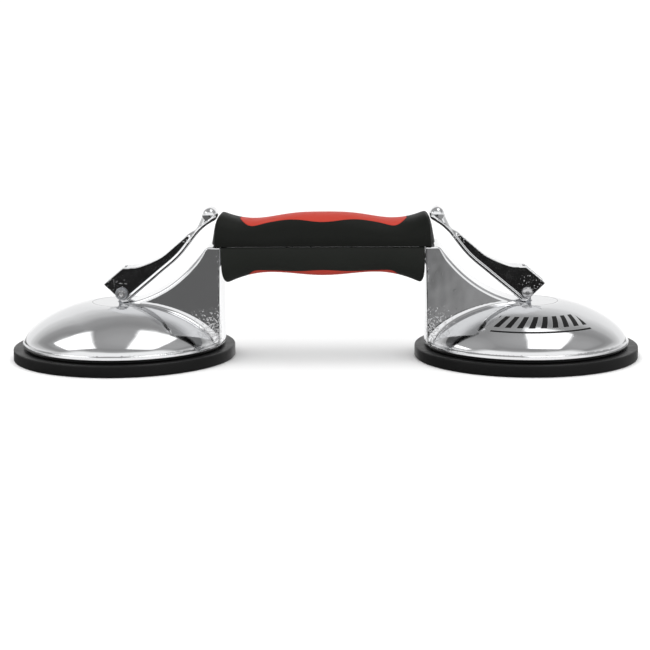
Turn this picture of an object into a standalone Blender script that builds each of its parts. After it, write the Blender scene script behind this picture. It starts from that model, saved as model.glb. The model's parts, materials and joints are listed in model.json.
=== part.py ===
"""Double vacuum suction lifter: two lever-operated cups joined by a two-shell hand grip.

Frame: origin on the base plane under the middle of the grip, +X towards the right cup,
+Z up, metres.  The lifter is the same after half a turn about Z, so each cup is modelled
once in its own frame (origin on the cup's axis at the base plane, +X towards the grip)
and placed twice.  The levers are in their released position, leaning on the grip's ends.
"""

import math

import bmesh
import bpy
import numpy as np

# ---------------------------------------------------------------- driving dimensions
CUP_SPACING = 0.2174            # between the two cups' axes
GAP = 0.0003                    # left between pieces that rest on each other

RUBBER_RADIUS = 0.0600
RUBBER_THICKNESS = 0.0061
LAND_RADIUS = 0.0525            # raised land that the housing's rim presses on
SEAT_RADIUS = 0.0285            # sunken seat of the pull plate
LIP_INNER_RADIUS = 0.0460       # inner edge of the flat sealing lip
HOLLOW_DEPTH = 0.0012           # hollow of the rubber's underside

RIM_RADIUS = 0.0550
RIM_BOTTOM = 0.0075
RIM_TOP = 0.0100
DOME_EDGE_RADIUS = 0.0546
DOME_EXPONENT = 1.5             # superellipse exponent of the dome's section
CAM_PAD_RADIUS = 0.0175         # flat on top of the dome that the lever's cam works on
CAM_PAD_HEIGHT = 0.0298
WALL = 0.0028                   # casting wall

ARM_WALL_X = 0.0544             # the housing arm's upright wall that faces the grip
ARM_WALL_RADIUS = 0.0545        # its foot follows the rim
ARM_TOP = 0.0613
ARM_TOE_X = 0.0030
ARM_TOE_HALF_WIDTH = 0.0112
ARM_HALF_WIDTH = 0.0182
ARM_FLOOR = 0.0095              # foot of the arm inside the dome
ARM_SLOPE_END_X = 0.0465        # where the concave slope meets the flat top
ARM_SLOPE_START_Z = 0.0300
ARM_SLOPE_RATE = 0.286          # of the slope's even part
ARM_SLOPE_CURVE = 0.0181        # rise of its curved part at the slope's end
ARM_SLOPE_POWER = 2.67

PIN_HEIGHT = 0.0351
PIN_RADIUS = 0.0020
PIN_HOLE_RADIUS = 0.0023
PIN_HEAD_RADIUS = 0.0029
PIN_HEAD_HEIGHT = 0.0016
PIN_HEAD_CHAMFER = 0.0005
PIN_END_LENGTH = 0.0015         # of the plain end past the lever
PIN_END_CHAMFER = 0.0003
RETAINER_RADIUS = 0.0033
RETAINER_THICKNESS = 0.0009
RETAINER_CHAMFER = 0.0005
STEM_RADIUS = 0.0027
STEM_HOLE_RADIUS = 0.0031
STEM_EYE_RADIUS = 0.0037
STEM_EYE_HALF_WIDTH = 0.0033
STEM_BOSS_RADIUS = 0.0070
STEM_BOSS_BOTTOM = 0.0215

PLATE_RADIUS = 0.0280
PLATE_THICKNESS = 0.0018
NUT_HEIGHT = 0.0045
NUT_RADIUS = 0.0068
SPRING_RADIUS = 0.0092
SPRING_WIRE_RADIUS = 0.0007
SPRING_TURNS = 3.5

LEVER_HALF_WIDTH = 0.0075
LEVER_SLOT_HALF_WIDTH = 0.0037
LEVER_SLOT_DEPTH = 0.0105       # from the pin along the arm
LEVER_ARM_ANGLE = math.radians(41.0)
CAM_CORNER_RADIUS = 0.0010
LEVER_TOP_CORNER_RADIUS = 0.0010
LEVER_EDGE = 0.0006
LEVER_LIP_RADIUS = 0.0041       # of the rolled thumb lip
LEVER_LIP_CENTRE = (0.0481, 0.0419)

GRIP_BASE = ARM_TOP             # the plane where the grip's two shells meet
GRIP_HALF_WIDTH = 0.0182
LOWER_HALF_WIDTH = 0.0177
GRIP_EXPONENT = 2.4
GRIP_WALL = 0.0028
END_FOOT_HEIGHT = 0.0010        # the upright foot of the grip's end faces
UPPER_HALF_LENGTH = 0.0597
LOWER_HALF_LENGTH = 0.0539
UPPER_HEIGHT = 0.0164           # of the upper shell's crest at the middle
UPPER_WAIST_X = 0.0370
UPPER_WAIST_DROP = 0.0033
UPPER_RISE_X = 0.0530           # where the crest is back at its middle height
UPPER_TALLEST = 0.0174
UPPER_END_LEAN = 0.17
UPPER_END_ROUND = 0.0023
UPPER_END_BULGE = 0.0022        # of the end's middle beyond its sides, seen from above
BULGE_START_X = 0.0460
LOWER_TALLEST = 0.0225
LOWER_DEPTH = 0.0168            # of the lower shell at the middle
LOWER_WAIST_X = 0.0280
LOWER_WAIST_RISE = 0.0018
LOWER_END_DROP = 0.0062
LOWER_DROP_X = 0.0524
LOWER_END_ROUND = 0.0034
END_ROUND_POWER = 6
CORNER_SHARPNESS = 24           # of the edge between the grip's top and its end face

INSERT_THICKNESS = 0.0011
INSERT_POCKET = 0.0015
INSERT_HALF_WIDTH = 0.0116
INSERT_WAVE = 0.0015           # how far the insert's edge waves in and out
INSERT_NARROW_X = 0.0225        # where the insert is narrowest
INSERT_LOBE_SPAN = 0.0165       # from there to the wide lobes near the ends
INSERT_LOBE_POWER = 1.7
UPPER_INSERT_HALF_LENGTH = 0.0446
LOWER_INSERT_HALF_LENGTH = 0.0408

BAR_HALF_LENGTH = 0.0539
BAR_HALF_WIDTH = 0.0095
BAR_BOTTOM = 0.0515
BAR_TOP = 0.0690
BAR_EDGE = 0.0012
BAR_END_LENGTH = 0.0105         # the bar's deeper ends
BAR_END_BOTTOM = 0.0495

BAR_SCREW_RADIUS = 0.0020
BAR_SCREW_Y = 0.0048
BAR_SCREW_Z = 0.0528
BAR_SCREW_HEAD_HEIGHT = 0.0022
BAR_SCREW_HEAD_RADIUS = 0.0034
BAR_SCREW_LENGTH = 0.0120
GRIP_SCREW_X = 0.0480
GRIP_SCREW_RADIUS = 0.0016
GRIP_SCREW_HEAD_RADIUS = 0.0029
GRIP_SCREW_HEAD_HEIGHT = 0.0020
GRIP_SCREW_SINK = 0.0042        # from the lower shell's skin up to under the head
GRIP_SCREW_REACH = 0.0028       # of the tip above the bar
GRIP_POCKET_DEPTH = 0.0080
GRIP_BOSS_RADIUS = 0.0045
BOSS_SINK = 0.0015              # how far under the shell's skin a boss starts
SCREW_CLEARANCE = 0.0003

ROUND_STEPS = 40                # sides of the large round pieces
SMALL_STEPS = 16                # sides of pins and holes
SCREW_STEPS = 12
GRIP_STEPS = 12                 # around each shell of the grip
OFF_SEAM_TURN = math.radians(7.0)   # keeps a screw's corners off the shells' crest line

MATERIALS = {
    "chrome": ((0.80, 0.80, 0.81), 0.10, 1.0),
    "steel": ((0.56, 0.57, 0.58), 0.32, 1.0),
    "spring_steel": ((0.40, 0.41, 0.43), 0.35, 1.0),
    "aluminium": ((0.62, 0.63, 0.64), 0.40, 1.0),
    "rubber": ((0.020, 0.020, 0.021), 0.62, 0.0),
    "black_grip": ((0.018, 0.020, 0.019), 0.50, 0.0),
    "red_insert": ((0.62, 0.055, 0.040), 0.42, 0.0),
}


# ---------------------------------------------------------------- scene helpers
def clear_scene():
    for obj in list(bpy.data.objects):
        bpy.data.objects.remove(obj, do_unlink=True)


def new_collection(name):
    collection = bpy.data.collections.new(name)
    bpy.context.scene.collection.children.link(collection)
    return collection


def make_material(name):
    colour, roughness, metallic = MATERIALS[name]
    material = bpy.data.materials.new(name)
    material.use_nodes = True
    shader = material.node_tree.nodes["Principled BSDF"]
    shader.inputs["Base Color"].default_value = (*colour, 1.0)
    shader.inputs["Roughness"].default_value = roughness
    shader.inputs["Metallic"].default_value = metallic
    return material


def object_from_bmesh(name, bm, collection):
    """An object from a closed mesh, with its faces turned outwards."""
    bmesh.ops.recalc_face_normals(bm, faces=bm.faces)
    if bm.calc_volume(signed=True) < 0.0:
        bmesh.ops.reverse_faces(bm, faces=bm.faces)
    mesh = bpy.data.meshes.new(name)
    bm.to_mesh(mesh)
    bm.free()
    obj = bpy.data.objects.new(name, mesh)
    collection.objects.link(obj)
    return obj


def finish_part(obj, material, smooth_angle=35.0):
    obj.data.materials.clear()
    obj.data.materials.append(material)
    obj.data.shade_smooth()
    obj.data.set_sharp_from_angle(angle=math.radians(smooth_angle))
    return obj


def boolean(obj, tool, operation, solver="EXACT"):
    """Unites or cuts with a tool.  The grip's shells take the MANIFOLD solver, because
    EXACT leaves open edges where their thin walls meet the bosses."""
    modifier = obj.modifiers.new(f"{operation.lower()}_{tool.name}", "BOOLEAN")
    modifier.operation = operation
    modifier.solver = solver
    modifier.object = tool


def bevel(obj, width, segments=1, angle=40.0):
    modifier = obj.modifiers.new("edges", "BEVEL")
    modifier.width = width
    modifier.segments = segments
    modifier.limit_method = "ANGLE"
    modifier.angle_limit = math.radians(angle)


def as_cutter(obj):
    obj.hide_render = True
    obj.display_type = "WIRE"
    return obj


# ---------------------------------------------------------------- shape helpers
def turned(name, profile, collection, steps=ROUND_STEPS):
    """A turned solid: (radius, z) points from the axis at the top, down the outer side,
    and back to the axis at the bottom, or a closed ring where the profile keeps off it."""
    on_axis = profile[0][0] == 0.0
    bm = bmesh.new()
    points = [bm.verts.new((radius, 0.0, z)) for radius, z in profile]
    for start, end in zip(points, points[1:]):
        bm.edges.new((start, end))
    if not on_axis:
        bm.edges.new((points[-1], points[0]))
    mesh = bpy.data.meshes.new(name)
    bm.to_mesh(mesh)
    bm.free()
    obj = bpy.data.objects.new(name, mesh)
    collection.objects.link(obj)
    screw = obj.modifiers.new("turn", "SCREW")
    screw.axis = "Z"
    screw.steps = steps
    screw.render_steps = steps
    screw.use_merge_vertices = True
    screw.merge_threshold = 0.00001
    return obj


def cylinder(name, collection, radius, start, end, steps=SMALL_STEPS):
    """A cylinder between two points."""
    start = np.array(start)
    end = np.array(end)
    length = float(np.linalg.norm(end - start))
    axis = (end - start) / length
    bm = bmesh.new()
    bmesh.ops.create_cone(
        bm, cap_ends=True, segments=steps, radius1=radius, radius2=radius, depth=length
    )
    turn = rotation_from_z(axis)
    for vert in bm.verts:
        vert.co = turn @ np.array(vert.co) + (start + end) / 2.0
    return object_from_bmesh(name, bm, collection)


def rotation_from_z(axis):
    """The rotation that takes +Z to an axis along X, Y or Z."""
    if abs(axis[0]) > 0.5:
        return np.array([[0.0, 0.0, 1.0], [0.0, 1.0, 0.0], [-1.0, 0.0, 0.0]])
    if abs(axis[1]) > 0.5:
        return np.array([[1.0, 0.0, 0.0], [0.0, 0.0, 1.0], [0.0, -1.0, 0.0]])
    return np.eye(3)


def box(name, collection, low, high):
    low = np.array(low)
    high = np.array(high)
    bm = bmesh.new()
    bmesh.ops.create_cube(bm, size=1.0)
    for vert in bm.verts:
        vert.co = np.array(vert.co) * (high - low) + (low + high) / 2.0
    return object_from_bmesh(name, bm, collection)


def join_parts(name, parts, collection):
    """One object that holds several separate solids."""
    bm = bmesh.new()
    for part in parts:
        bm.from_mesh(part.data)
        bpy.data.objects.remove(part, do_unlink=True)
    return object_from_bmesh(name, bm, collection)


def smooth_curve(points, steps):
    """Points along a Catmull-Rom curve through the given ones."""
    given = [np.array(point) for point in points]
    ends = [2 * given[0] - given[1], *given, 2 * given[-1] - given[-2]]
    curve = []
    for before, start, end, after in zip(ends, ends[1:], ends[2:], ends[3:]):
        for step in range(steps):
            t = step / steps
            curve.append(
                0.5
                * (
                    2 * start
                    + (end - before) * t
                    + (2 * before - 5 * start + 4 * end - after) * t**2
                    + (3 * start - before - 3 * end + after) * t**3
                )
            )
    return curve + [given[-1]]


def fillet_corner(before, corner, after, radius, steps=4):
    """Points of the arc that rounds one corner of an outline."""
    corner = np.array(corner)
    to_before = np.array(before) - corner
    to_after = np.array(after) - corner
    to_before /= np.linalg.norm(to_before)
    to_after /= np.linalg.norm(to_after)
    half_angle = math.acos(float(to_before @ to_after)) / 2.0
    bisector = (to_before + to_after) / np.linalg.norm(to_before + to_after)
    centre = corner + bisector * radius / math.sin(half_angle)
    start = corner + to_before * radius / math.tan(half_angle) - centre
    end = corner + to_after * radius / math.tan(half_angle) - centre
    sweep = math.acos(float(start @ end) / radius**2)
    points = []
    for step in range(steps + 1):
        t = step / steps
        near = math.sin((1 - t) * sweep) * start + math.sin(t * sweep) * end
        points.append(centre + near / math.sin(sweep))
    return points


def extruded_outline(name, outline, half_width, collection):
    """A plate whose (x, z) outline is extruded along Y to both sides."""
    curve = bpy.data.curves.new(name, "CURVE")
    curve.dimensions = "2D"
    curve.fill_mode = "BOTH"
    curve.extrude = half_width
    spline = curve.splines.new("POLY")
    spline.points.add(len(outline) - 1)
    for point, (x, z) in zip(spline.points, outline):
        point.co = (x, z, 0.0, 1.0)
    spline.use_cyclic_u = True
    guide = bpy.data.objects.new(name + "_outline", curve)
    collection.objects.link(guide)
    bpy.context.view_layer.update()
    depsgraph = bpy.context.evaluated_depsgraph_get()
    mesh = bpy.data.meshes.new_from_object(guide.evaluated_get(depsgraph))
    bpy.data.objects.remove(guide, do_unlink=True)
    bm = bmesh.new()
    bm.from_mesh(mesh)
    bmesh.ops.remove_doubles(bm, verts=bm.verts, dist=0.00001)
    for vert in bm.verts:
        vert.co = (vert.co.x, -vert.co.z, vert.co.y)
    return object_from_bmesh(name, bm, collection)


# ---------------------------------------------------------------- rubber and housing
def make_rubber_pad(name, parts):
    seat = RUBBER_THICKNESS - 0.0010
    land = RIM_BOTTOM - GAP
    profile = [
        (0.0, seat),
        (SEAT_RADIUS, seat),
        (SEAT_RADIUS + 0.0020, land),
        (LAND_RADIUS - 0.0006, land),
        (LAND_RADIUS, RUBBER_THICKNESS),
        (RUBBER_RADIUS - 0.0006, RUBBER_THICKNESS),
        (RUBBER_RADIUS, RUBBER_THICKNESS - 0.0006),
        (RUBBER_RADIUS, 0.0006),
        (RUBBER_RADIUS - 0.0006, 0.0),
        (LIP_INNER_RADIUS, 0.0),
        (LIP_INNER_RADIUS - 0.0040, HOLLOW_DEPTH),
        (0.0, HOLLOW_DEPTH),
    ]
    return turned(name, profile, parts)


def dome_curve(inset, steps):
    """The dome's section from the cam pad's edge down to the rim, moved inwards."""
    inner = CAM_PAD_RADIUS - 0.3 * inset
    outer = DOME_EDGE_RADIUS - inset
    top = CAM_PAD_HEIGHT - inset
    bottom = RIM_TOP - 0.6 * inset
    points = []
    for step in range(steps + 1):
        angle = math.pi / 2 * step / steps
        along = math.sin(angle) ** (2 / DOME_EXPONENT)
        height = math.cos(angle) ** (2 / DOME_EXPONENT)
        points.append((inner + (outer - inner) * along, bottom + (top - bottom) * height))
    return points


def arm_half_width(x):
    share = (x - ARM_TOE_X) / (ARM_WALL_X - ARM_TOE_X)
    return ARM_TOE_HALF_WIDTH + (ARM_HALF_WIDTH - ARM_TOE_HALF_WIDTH) * share


def arm_wall_x(y, z, inset):
    """The upright wall: its foot follows the rim, its top is flat."""
    foot = math.sqrt((ARM_WALL_RADIUS - inset) ** 2 - y**2)
    share = min(max((z - RIM_TOP) / (ARM_TOP - RIM_TOP), 0.0), 1.0)
    return foot + (ARM_WALL_X - inset - foot) * share


def arm_slope(x):
    """Height of the arm's concave slope."""
    along = x - ARM_TOE_X
    share = along / (ARM_SLOPE_END_X - ARM_TOE_X)
    return (
        ARM_SLOPE_START_Z
        + ARM_SLOPE_RATE * along
        + ARM_SLOPE_CURVE * share**ARM_SLOPE_POWER
    )


def arm_outline(inset):
    """The arm's (x, z) outline seen from the side: its free edge and its wall."""
    start = 0.5 if inset else 0.0
    free = []
    for share in np.linspace(start, 1.0, 6 if inset else 11):
        x = float(ARM_TOE_X + (ARM_SLOPE_END_X - ARM_TOE_X) * share)
        free.append((x + inset, min(arm_slope(x), ARM_TOP) - inset))
    heights = np.linspace(ARM_TOP - inset, ARM_FLOOR - inset, 5)
    wall = [(ARM_WALL_X - inset, float(z)) for z in heights]
    return [(free[0][0], wall[-1][1]), *free], wall


def make_arm(name, inset, collection):
    """The housing's arm, or with an inset the hollow inside it."""
    free, wall = arm_outline(inset)
    columns = 6
    bm = bmesh.new()
    rows = []
    for x, z in free:
        half = arm_half_width(x) - inset
        row = [bm.verts.new((x, half * s, z)) for s in np.linspace(-1, 1, columns + 1)]
        rows.append(row)
    for x, z in wall:
        row = []
        for side in np.linspace(-1, 1, columns + 1):
            y = side * (arm_half_width(x) - inset)
            for _ in range(4):
                y = side * (arm_half_width(arm_wall_x(y, z, inset) + inset) - inset)
            row.append(bm.verts.new((arm_wall_x(y, z, inset), y, z)))
        rows.append(row)
    rows.append(rows[0])
    for row, following in zip(rows, rows[1:]):
        for column in range(columns):
            bm.faces.new(
                (row[column], row[column + 1], following[column + 1], following[column])
            )
    bm.faces.new([row[0] for row in rows[:-1]])
    bm.faces.new([row[-1] for row in rows[:-1]])
    return object_from_bmesh(name, bm, collection)


def make_housing(name, parts, cutters):
    """A thin cast dome with a hollow arm that rises to the grip."""
    section = dome_curve(0.0, 9)
    shell = turned(
        name,
        [
            (0.0, CAM_PAD_HEIGHT),
            *section,
            (RIM_RADIUS, RIM_TOP - 0.0004),
            (RIM_RADIUS, RIM_BOTTOM + 0.0004),
            (RIM_RADIUS - 0.0004, RIM_BOTTOM),
            (0.0, RIM_BOTTOM),
        ],
        parts,
    )
    hollow = turned(
        name + "_hollow",
        [
            (0.0, CAM_PAD_HEIGHT - WALL),
            *dome_curve(WALL, 6),
            (DOME_EDGE_RADIUS - WALL - 0.0002, RIM_BOTTOM - 0.0020),
            (0.0, RIM_BOTTOM - 0.0020),
        ],
        cutters,
    )
    arm = make_arm(name + "_arm", 0.0, cutters)
    arm_hollow = make_arm(name + "_arm_hollow", WALL, cutters)
    boss = cylinder(
        name + "_boss",
        cutters,
        STEM_BOSS_RADIUS,
        (0.0, 0.0, STEM_BOSS_BOTTOM),
        (0.0, 0.0, CAM_PAD_HEIGHT - WALL / 2),
    )
    stem_hole = cylinder(
        name + "_stem_hole",
        cutters,
        STEM_HOLE_RADIUS,
        (0.0, 0.0, STEM_BOSS_BOTTOM - 0.005),
        (0.0, 0.0, CAM_PAD_HEIGHT + 0.005),
    )
    screw_holes = join_parts(
        name + "_screw_holes",
        [
            cylinder(
                f"{name}_screw_hole_{side}",
                cutters,
                BAR_SCREW_RADIUS + SCREW_CLEARANCE,
                (ARM_WALL_X - WALL - 0.001, side * BAR_SCREW_Y, BAR_SCREW_Z),
                (ARM_WALL_X + 0.002, side * BAR_SCREW_Y, BAR_SCREW_Z),
            )
            for side in (-1, 1)
        ],
        cutters,
    )
    steps = (
        (arm, "UNION"),
        (hollow, "DIFFERENCE"),
        (arm_hollow, "DIFFERENCE"),
        (boss, "UNION"),
        (stem_hole, "DIFFERENCE"),
        (screw_holes, "DIFFERENCE"),
    )
    for tool, operation in steps:
        boolean(shell, as_cutter(tool), operation)
    return shell


# ---------------------------------------------------------------- lifting gear
def plate_bottom():
    return RUBBER_THICKNESS - 0.0010 + GAP


def plate_top():
    return plate_bottom() + PLATE_THICKNESS


def make_pull_plate(name, parts):
    profile = [
        (0.0, plate_top()),
        (PLATE_RADIUS - 0.0004, plate_top()),
        (PLATE_RADIUS, plate_top() - 0.0004),
        (PLATE_RADIUS, plate_bottom()),
        (0.0, plate_bottom()),
    ]
    return turned(name, profile, parts)


def make_pull_stem(name, parts, cutters):
    """A round stem whose flat eye takes the lever's pin."""
    stem = cylinder(
        name,
        parts,
        STEM_RADIUS,
        (0.0, 0.0, plate_top() + GAP),
        (0.0, 0.0, PIN_HEIGHT - PIN_RADIUS),
    )
    eye = cylinder(
        name + "_eye",
        cutters,
        STEM_EYE_RADIUS,
        (0.0, -STEM_EYE_HALF_WIDTH, PIN_HEIGHT),
        (0.0, STEM_EYE_HALF_WIDTH, PIN_HEIGHT),
        2 * SMALL_STEPS,
    )
    pin_hole = cylinder(
        name + "_pin_hole",
        cutters,
        PIN_HOLE_RADIUS,
        (0.0, -0.010, PIN_HEIGHT),
        (0.0, 0.010, PIN_HEIGHT),
    )
    boolean(stem, as_cutter(eye), "UNION")
    boolean(stem, as_cutter(pin_hole), "DIFFERENCE")
    return stem


def make_stem_nut(name, parts, cutters):
    bottom = plate_top() + GAP
    top = bottom + NUT_HEIGHT
    nut = cylinder(name, parts, NUT_RADIUS, (0, 0, bottom), (0, 0, top), 6)
    hole = cylinder(
        name + "_hole",
        cutters,
        STEM_RADIUS + SCREW_CLEARANCE,
        (0, 0, bottom - 0.002),
        (0, 0, top + 0.002),
    )
    boolean(nut, as_cutter(hole), "DIFFERENCE")
    return nut


def make_return_spring(name, parts):
    """The coil that pushes the pull plate down when the lever is released."""
    low = plate_top() + GAP + SPRING_WIRE_RADIUS
    high = STEM_BOSS_BOTTOM - GAP - SPRING_WIRE_RADIUS
    per_turn = 12
    count = int(SPRING_TURNS * per_turn)
    curve = bpy.data.curves.new(name, "CURVE")
    curve.dimensions = "3D"
    curve.bevel_depth = SPRING_WIRE_RADIUS
    curve.bevel_resolution = 2
    curve.use_fill_caps = True
    spline = curve.splines.new("POLY")
    spline.points.add(count)
    for index, point in enumerate(spline.points):
        share = index / count
        angle = math.tau * SPRING_TURNS * share
        across = (SPRING_RADIUS * math.cos(angle), SPRING_RADIUS * math.sin(angle))
        point.co = (*across, low + (high - low) * share, 1.0)
    guide = bpy.data.objects.new(name + "_wire", curve)
    parts.objects.link(guide)
    bpy.context.view_layer.update()
    depsgraph = bpy.context.evaluated_depsgraph_get()
    mesh = bpy.data.meshes.new_from_object(guide.evaluated_get(depsgraph))
    bpy.data.objects.remove(guide, do_unlink=True)
    bm = bmesh.new()
    bm.from_mesh(mesh)
    bmesh.ops.remove_doubles(bm, verts=bm.verts, dist=0.00001)
    return object_from_bmesh(name, bm, parts)


def make_pivot_pin(name, parts):
    """A headed pin: the head lies behind the lever, the plain end takes the retainer."""
    face = LEVER_HALF_WIDTH + GAP
    head = face + PIN_HEAD_HEIGHT
    end = -LEVER_HALF_WIDTH - PIN_END_LENGTH
    profile = [
        (0.0, head),
        (PIN_HEAD_RADIUS - PIN_HEAD_CHAMFER, head),
        (PIN_HEAD_RADIUS, head - PIN_HEAD_CHAMFER),
        (PIN_HEAD_RADIUS, face),
        (PIN_RADIUS, face),
        (PIN_RADIUS, end + PIN_END_CHAMFER),
        (PIN_RADIUS - PIN_END_CHAMFER, end),
        (0.0, end),
    ]
    pin = turned(name, profile, parts, SMALL_STEPS)
    return lay_along_y(pin)


def lay_along_y(obj):
    """Turns a piece made about Z so that it lies along Y, at the height of the pin."""
    obj.rotation_euler = (math.radians(-90.0), 0.0, 0.0)
    obj.location = (0.0, 0.0, PIN_HEIGHT)
    return obj


def make_pin_retainer(name, parts):
    """A push-on washer on the pin's plain end."""
    inner = PIN_RADIUS + GAP
    face = -LEVER_HALF_WIDTH - GAP
    outer_face = face - RETAINER_THICKNESS
    profile = [
        (inner, face),
        (RETAINER_RADIUS, face),
        (RETAINER_RADIUS, outer_face + RETAINER_CHAMFER),
        (RETAINER_RADIUS - RETAINER_CHAMFER, outer_face),
        (inner, outer_face),
    ]
    retainer = turned(name, profile, parts, SMALL_STEPS)
    return lay_along_y(retainer)


def lever_outline():
    """The lever's side outline about its pin: cam corners, then the arm up to its
    rolled thumb lip, and back down the underside."""
    corner_a = (-0.0098, 0.0051)
    corner_b = (0.0004, -0.0048)
    corner_c = (0.0007, 0.0138)
    cam = [
        *fillet_corner(corner_b, corner_a, corner_c, CAM_CORNER_RADIUS),
        *fillet_corner(corner_a, corner_c, (0.0050, 0.0140), LEVER_TOP_CORNER_RADIUS, 2),
    ]
    top = smooth_curve(
        [
            (0.0040, 0.01385),
            (0.0104, 0.0148),
            (0.0213, 0.0195),
            (0.0295, 0.0260),
            (0.0366, 0.0320),
            (0.0404, 0.0344),
            (0.0428, 0.0388),
        ],
        2,
    )
    lip = []
    for step in range(9):
        angle = math.radians(170.0 - 185.0 * step / 8)
        lip.append(
            (
                LEVER_LIP_CENTRE[0] + LEVER_LIP_RADIUS * math.cos(angle),
                LEVER_LIP_CENTRE[1] + LEVER_LIP_RADIUS * math.sin(angle),
            )
        )
    under = smooth_curve(
        [
            (0.0512, 0.0398),
            (0.0431, 0.0338),
            (0.0321, 0.0204),
            (0.0211, 0.0109),
            (0.0101, 0.0017),
            (0.0027, -0.0045),
        ],
        2,
    )
    return [tuple(map(float, point)) for point in (*cam, *top, *lip, *under, corner_b)]


def make_lever(name, parts, cutters):
    lever = extruded_outline(name, lever_outline(), LEVER_HALF_WIDTH, parts)
    bevel(lever, LEVER_EDGE)
    along = np.array((math.cos(LEVER_ARM_ANGLE), math.sin(LEVER_ARM_ANGLE)))
    across = np.array((-along[1], along[0]))
    reach = 0.0300
    corners = (
        along * LEVER_SLOT_DEPTH - across * reach,
        along * LEVER_SLOT_DEPTH + across * reach,
        -along * reach + across * reach,
        -along * reach - across * reach,
    )
    slot = extruded_outline(
        name + "_slot", [tuple(c) for c in corners], LEVER_SLOT_HALF_WIDTH, cutters
    )
    hole = cylinder(
        name + "_pin_hole", cutters, PIN_HOLE_RADIUS, (0, -0.010, 0), (0, 0.010, 0)
    )
    boolean(lever, as_cutter(slot), "DIFFERENCE")
    boolean(lever, as_cutter(hole), "DIFFERENCE")
    for piece in (lever, slot, hole):
        piece.location = (0.0, 0.0, PIN_HEIGHT)
    return lever


# ---------------------------------------------------------------- grip
def upper_height(x):
    """Height of the upper shell's crest above the shells' joint."""
    x = abs(x)
    if x < UPPER_WAIST_X:
        share = math.sin(math.pi / 2 * (x / UPPER_WAIST_X) ** 1.5) ** 2
        return UPPER_HEIGHT - UPPER_WAIST_DROP * share
    rise = ((x - UPPER_WAIST_X) / (UPPER_RISE_X - UPPER_WAIST_X)) ** 2
    return UPPER_HEIGHT - UPPER_WAIST_DROP + UPPER_WAIST_DROP * min(rise, 1.4)


def lower_depth(x):
    """Depth of the lower shell's crest below the shells' joint."""
    x = abs(x)
    if x < LOWER_WAIST_X:
        share = math.sin(math.pi / 2 * x / LOWER_WAIST_X) ** 2
        return LOWER_DEPTH - LOWER_WAIST_RISE * share
    drop = ((x - LOWER_WAIST_X) / (LOWER_DROP_X - LOWER_WAIST_X)) ** 2
    return LOWER_DEPTH - LOWER_WAIST_RISE + LOWER_END_DROP * drop


def upper_end(height):
    """Where the upper shell's leaning, rounded end face lies at a height."""
    rounding = UPPER_END_ROUND * (height / UPPER_HEIGHT) ** END_ROUND_POWER
    return UPPER_HALF_LENGTH - UPPER_END_LEAN * height - rounding


def lower_end(depth):
    return LOWER_HALF_LENGTH - LOWER_END_ROUND * (depth / LOWER_TALLEST) ** END_ROUND_POWER


def section_height(y, half_width, height):
    """Height of a superellipse section at a distance from its middle."""
    share = min(abs(y) / half_width, 1.0) ** GRIP_EXPONENT
    return height * (1.0 - share) ** (1.0 / GRIP_EXPONENT)


def soft_minimum(a, b, sharpness=CORNER_SHARPNESS):
    if a <= 0.0 or b <= 0.0:
        return 0.0
    return (a**-sharpness + b**-sharpness) ** (-1.0 / sharpness)


def grip_stations(end_at, tallest, inset):
    """(x, end height) stations along the grip: even steps, then down the end face."""
    straight = end_at(tallest) - inset
    middle = [(x, 1.0) for x in np.linspace(0.0, straight, 9)[:-1]]
    heights = np.linspace(tallest, END_FOOT_HEIGHT + inset, 6)
    ends = [(end_at(height) - inset, height - inset) for height in heights]
    right = middle + ends
    return [(-x, end) for x, end in reversed(right[1:])] + right


def bulged_x(x, y):
    """Draws the end's sides in, so that the end is rounded seen from above."""
    share = (abs(x) - BULGE_START_X) / (UPPER_HALF_LENGTH - BULGE_START_X)
    share = min(max(share, 0.0), 1.0) ** 2
    drawn_in = UPPER_END_BULGE * share * abs(y / GRIP_HALF_WIDTH) ** 3
    return x - math.copysign(drawn_in, x)


def grip_solid(name, collection, direction, inset=0.0):
    """A closed half of the grip, above (+1) or below (-1) the shells' joint."""
    if direction > 0:
        height_at, end_at = upper_height, upper_end
        tallest, width = UPPER_TALLEST, GRIP_HALF_WIDTH
    else:
        height_at, end_at = lower_depth, lower_end
        tallest, width = LOWER_TALLEST, LOWER_HALF_WIDTH
    stations = grip_stations(end_at, tallest, inset)
    half_width = width - inset
    joint = GRIP_BASE + direction * GAP
    skirt = 0.0050 if inset else 0.0
    bm = bmesh.new()
    rows = []
    for x, end in stations:
        row = []
        for step in range(GRIP_STEPS + 1):
            angle = math.pi * step / GRIP_STEPS
            side = math.cos(angle)
            y = half_width * math.copysign(abs(side) ** (2 / GRIP_EXPONENT), side)
            full = section_height(y, half_width, height_at(x) - inset)
            z = joint + direction * soft_minimum(full, end)
            row.append(bm.verts.new((x, y, z)))
        foot = joint - direction * skirt
        row.append(bm.verts.new((x, -half_width, foot)))
        row.append(bm.verts.new((x, half_width, foot)))
        if direction > 0:
            for vert in row:
                vert.co.x = bulged_x(x, vert.co.y)
        rows.append(row)
    count = len(rows[0])
    for row, following in zip(rows, rows[1:]):
        for column in range(count):
            beside = (column + 1) % count
            bm.faces.new((row[column], row[beside], following[beside], following[column]))
    bm.faces.new(rows[0])
    bm.faces.new(rows[-1])
    bmesh.ops.remove_doubles(bm, verts=bm.verts, dist=0.00001)
    bmesh.ops.dissolve_degenerate(bm, dist=0.00001, edges=bm.edges)
    return object_from_bmesh(name, bm, collection)


def insert_half_width(x, half_length):
    beyond = max(abs(x) - INSERT_NARROW_X, 0.0)
    phase = min(abs(x) / INSERT_NARROW_X, 1.0) + (beyond / INSERT_LOBE_SPAN) ** INSERT_LOBE_POWER
    wave = INSERT_HALF_WIDTH + INSERT_WAVE * math.cos(math.pi * phase)
    return wave * math.sqrt(max(1.0 - (abs(x) / half_length) ** 14, 0.0))


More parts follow.
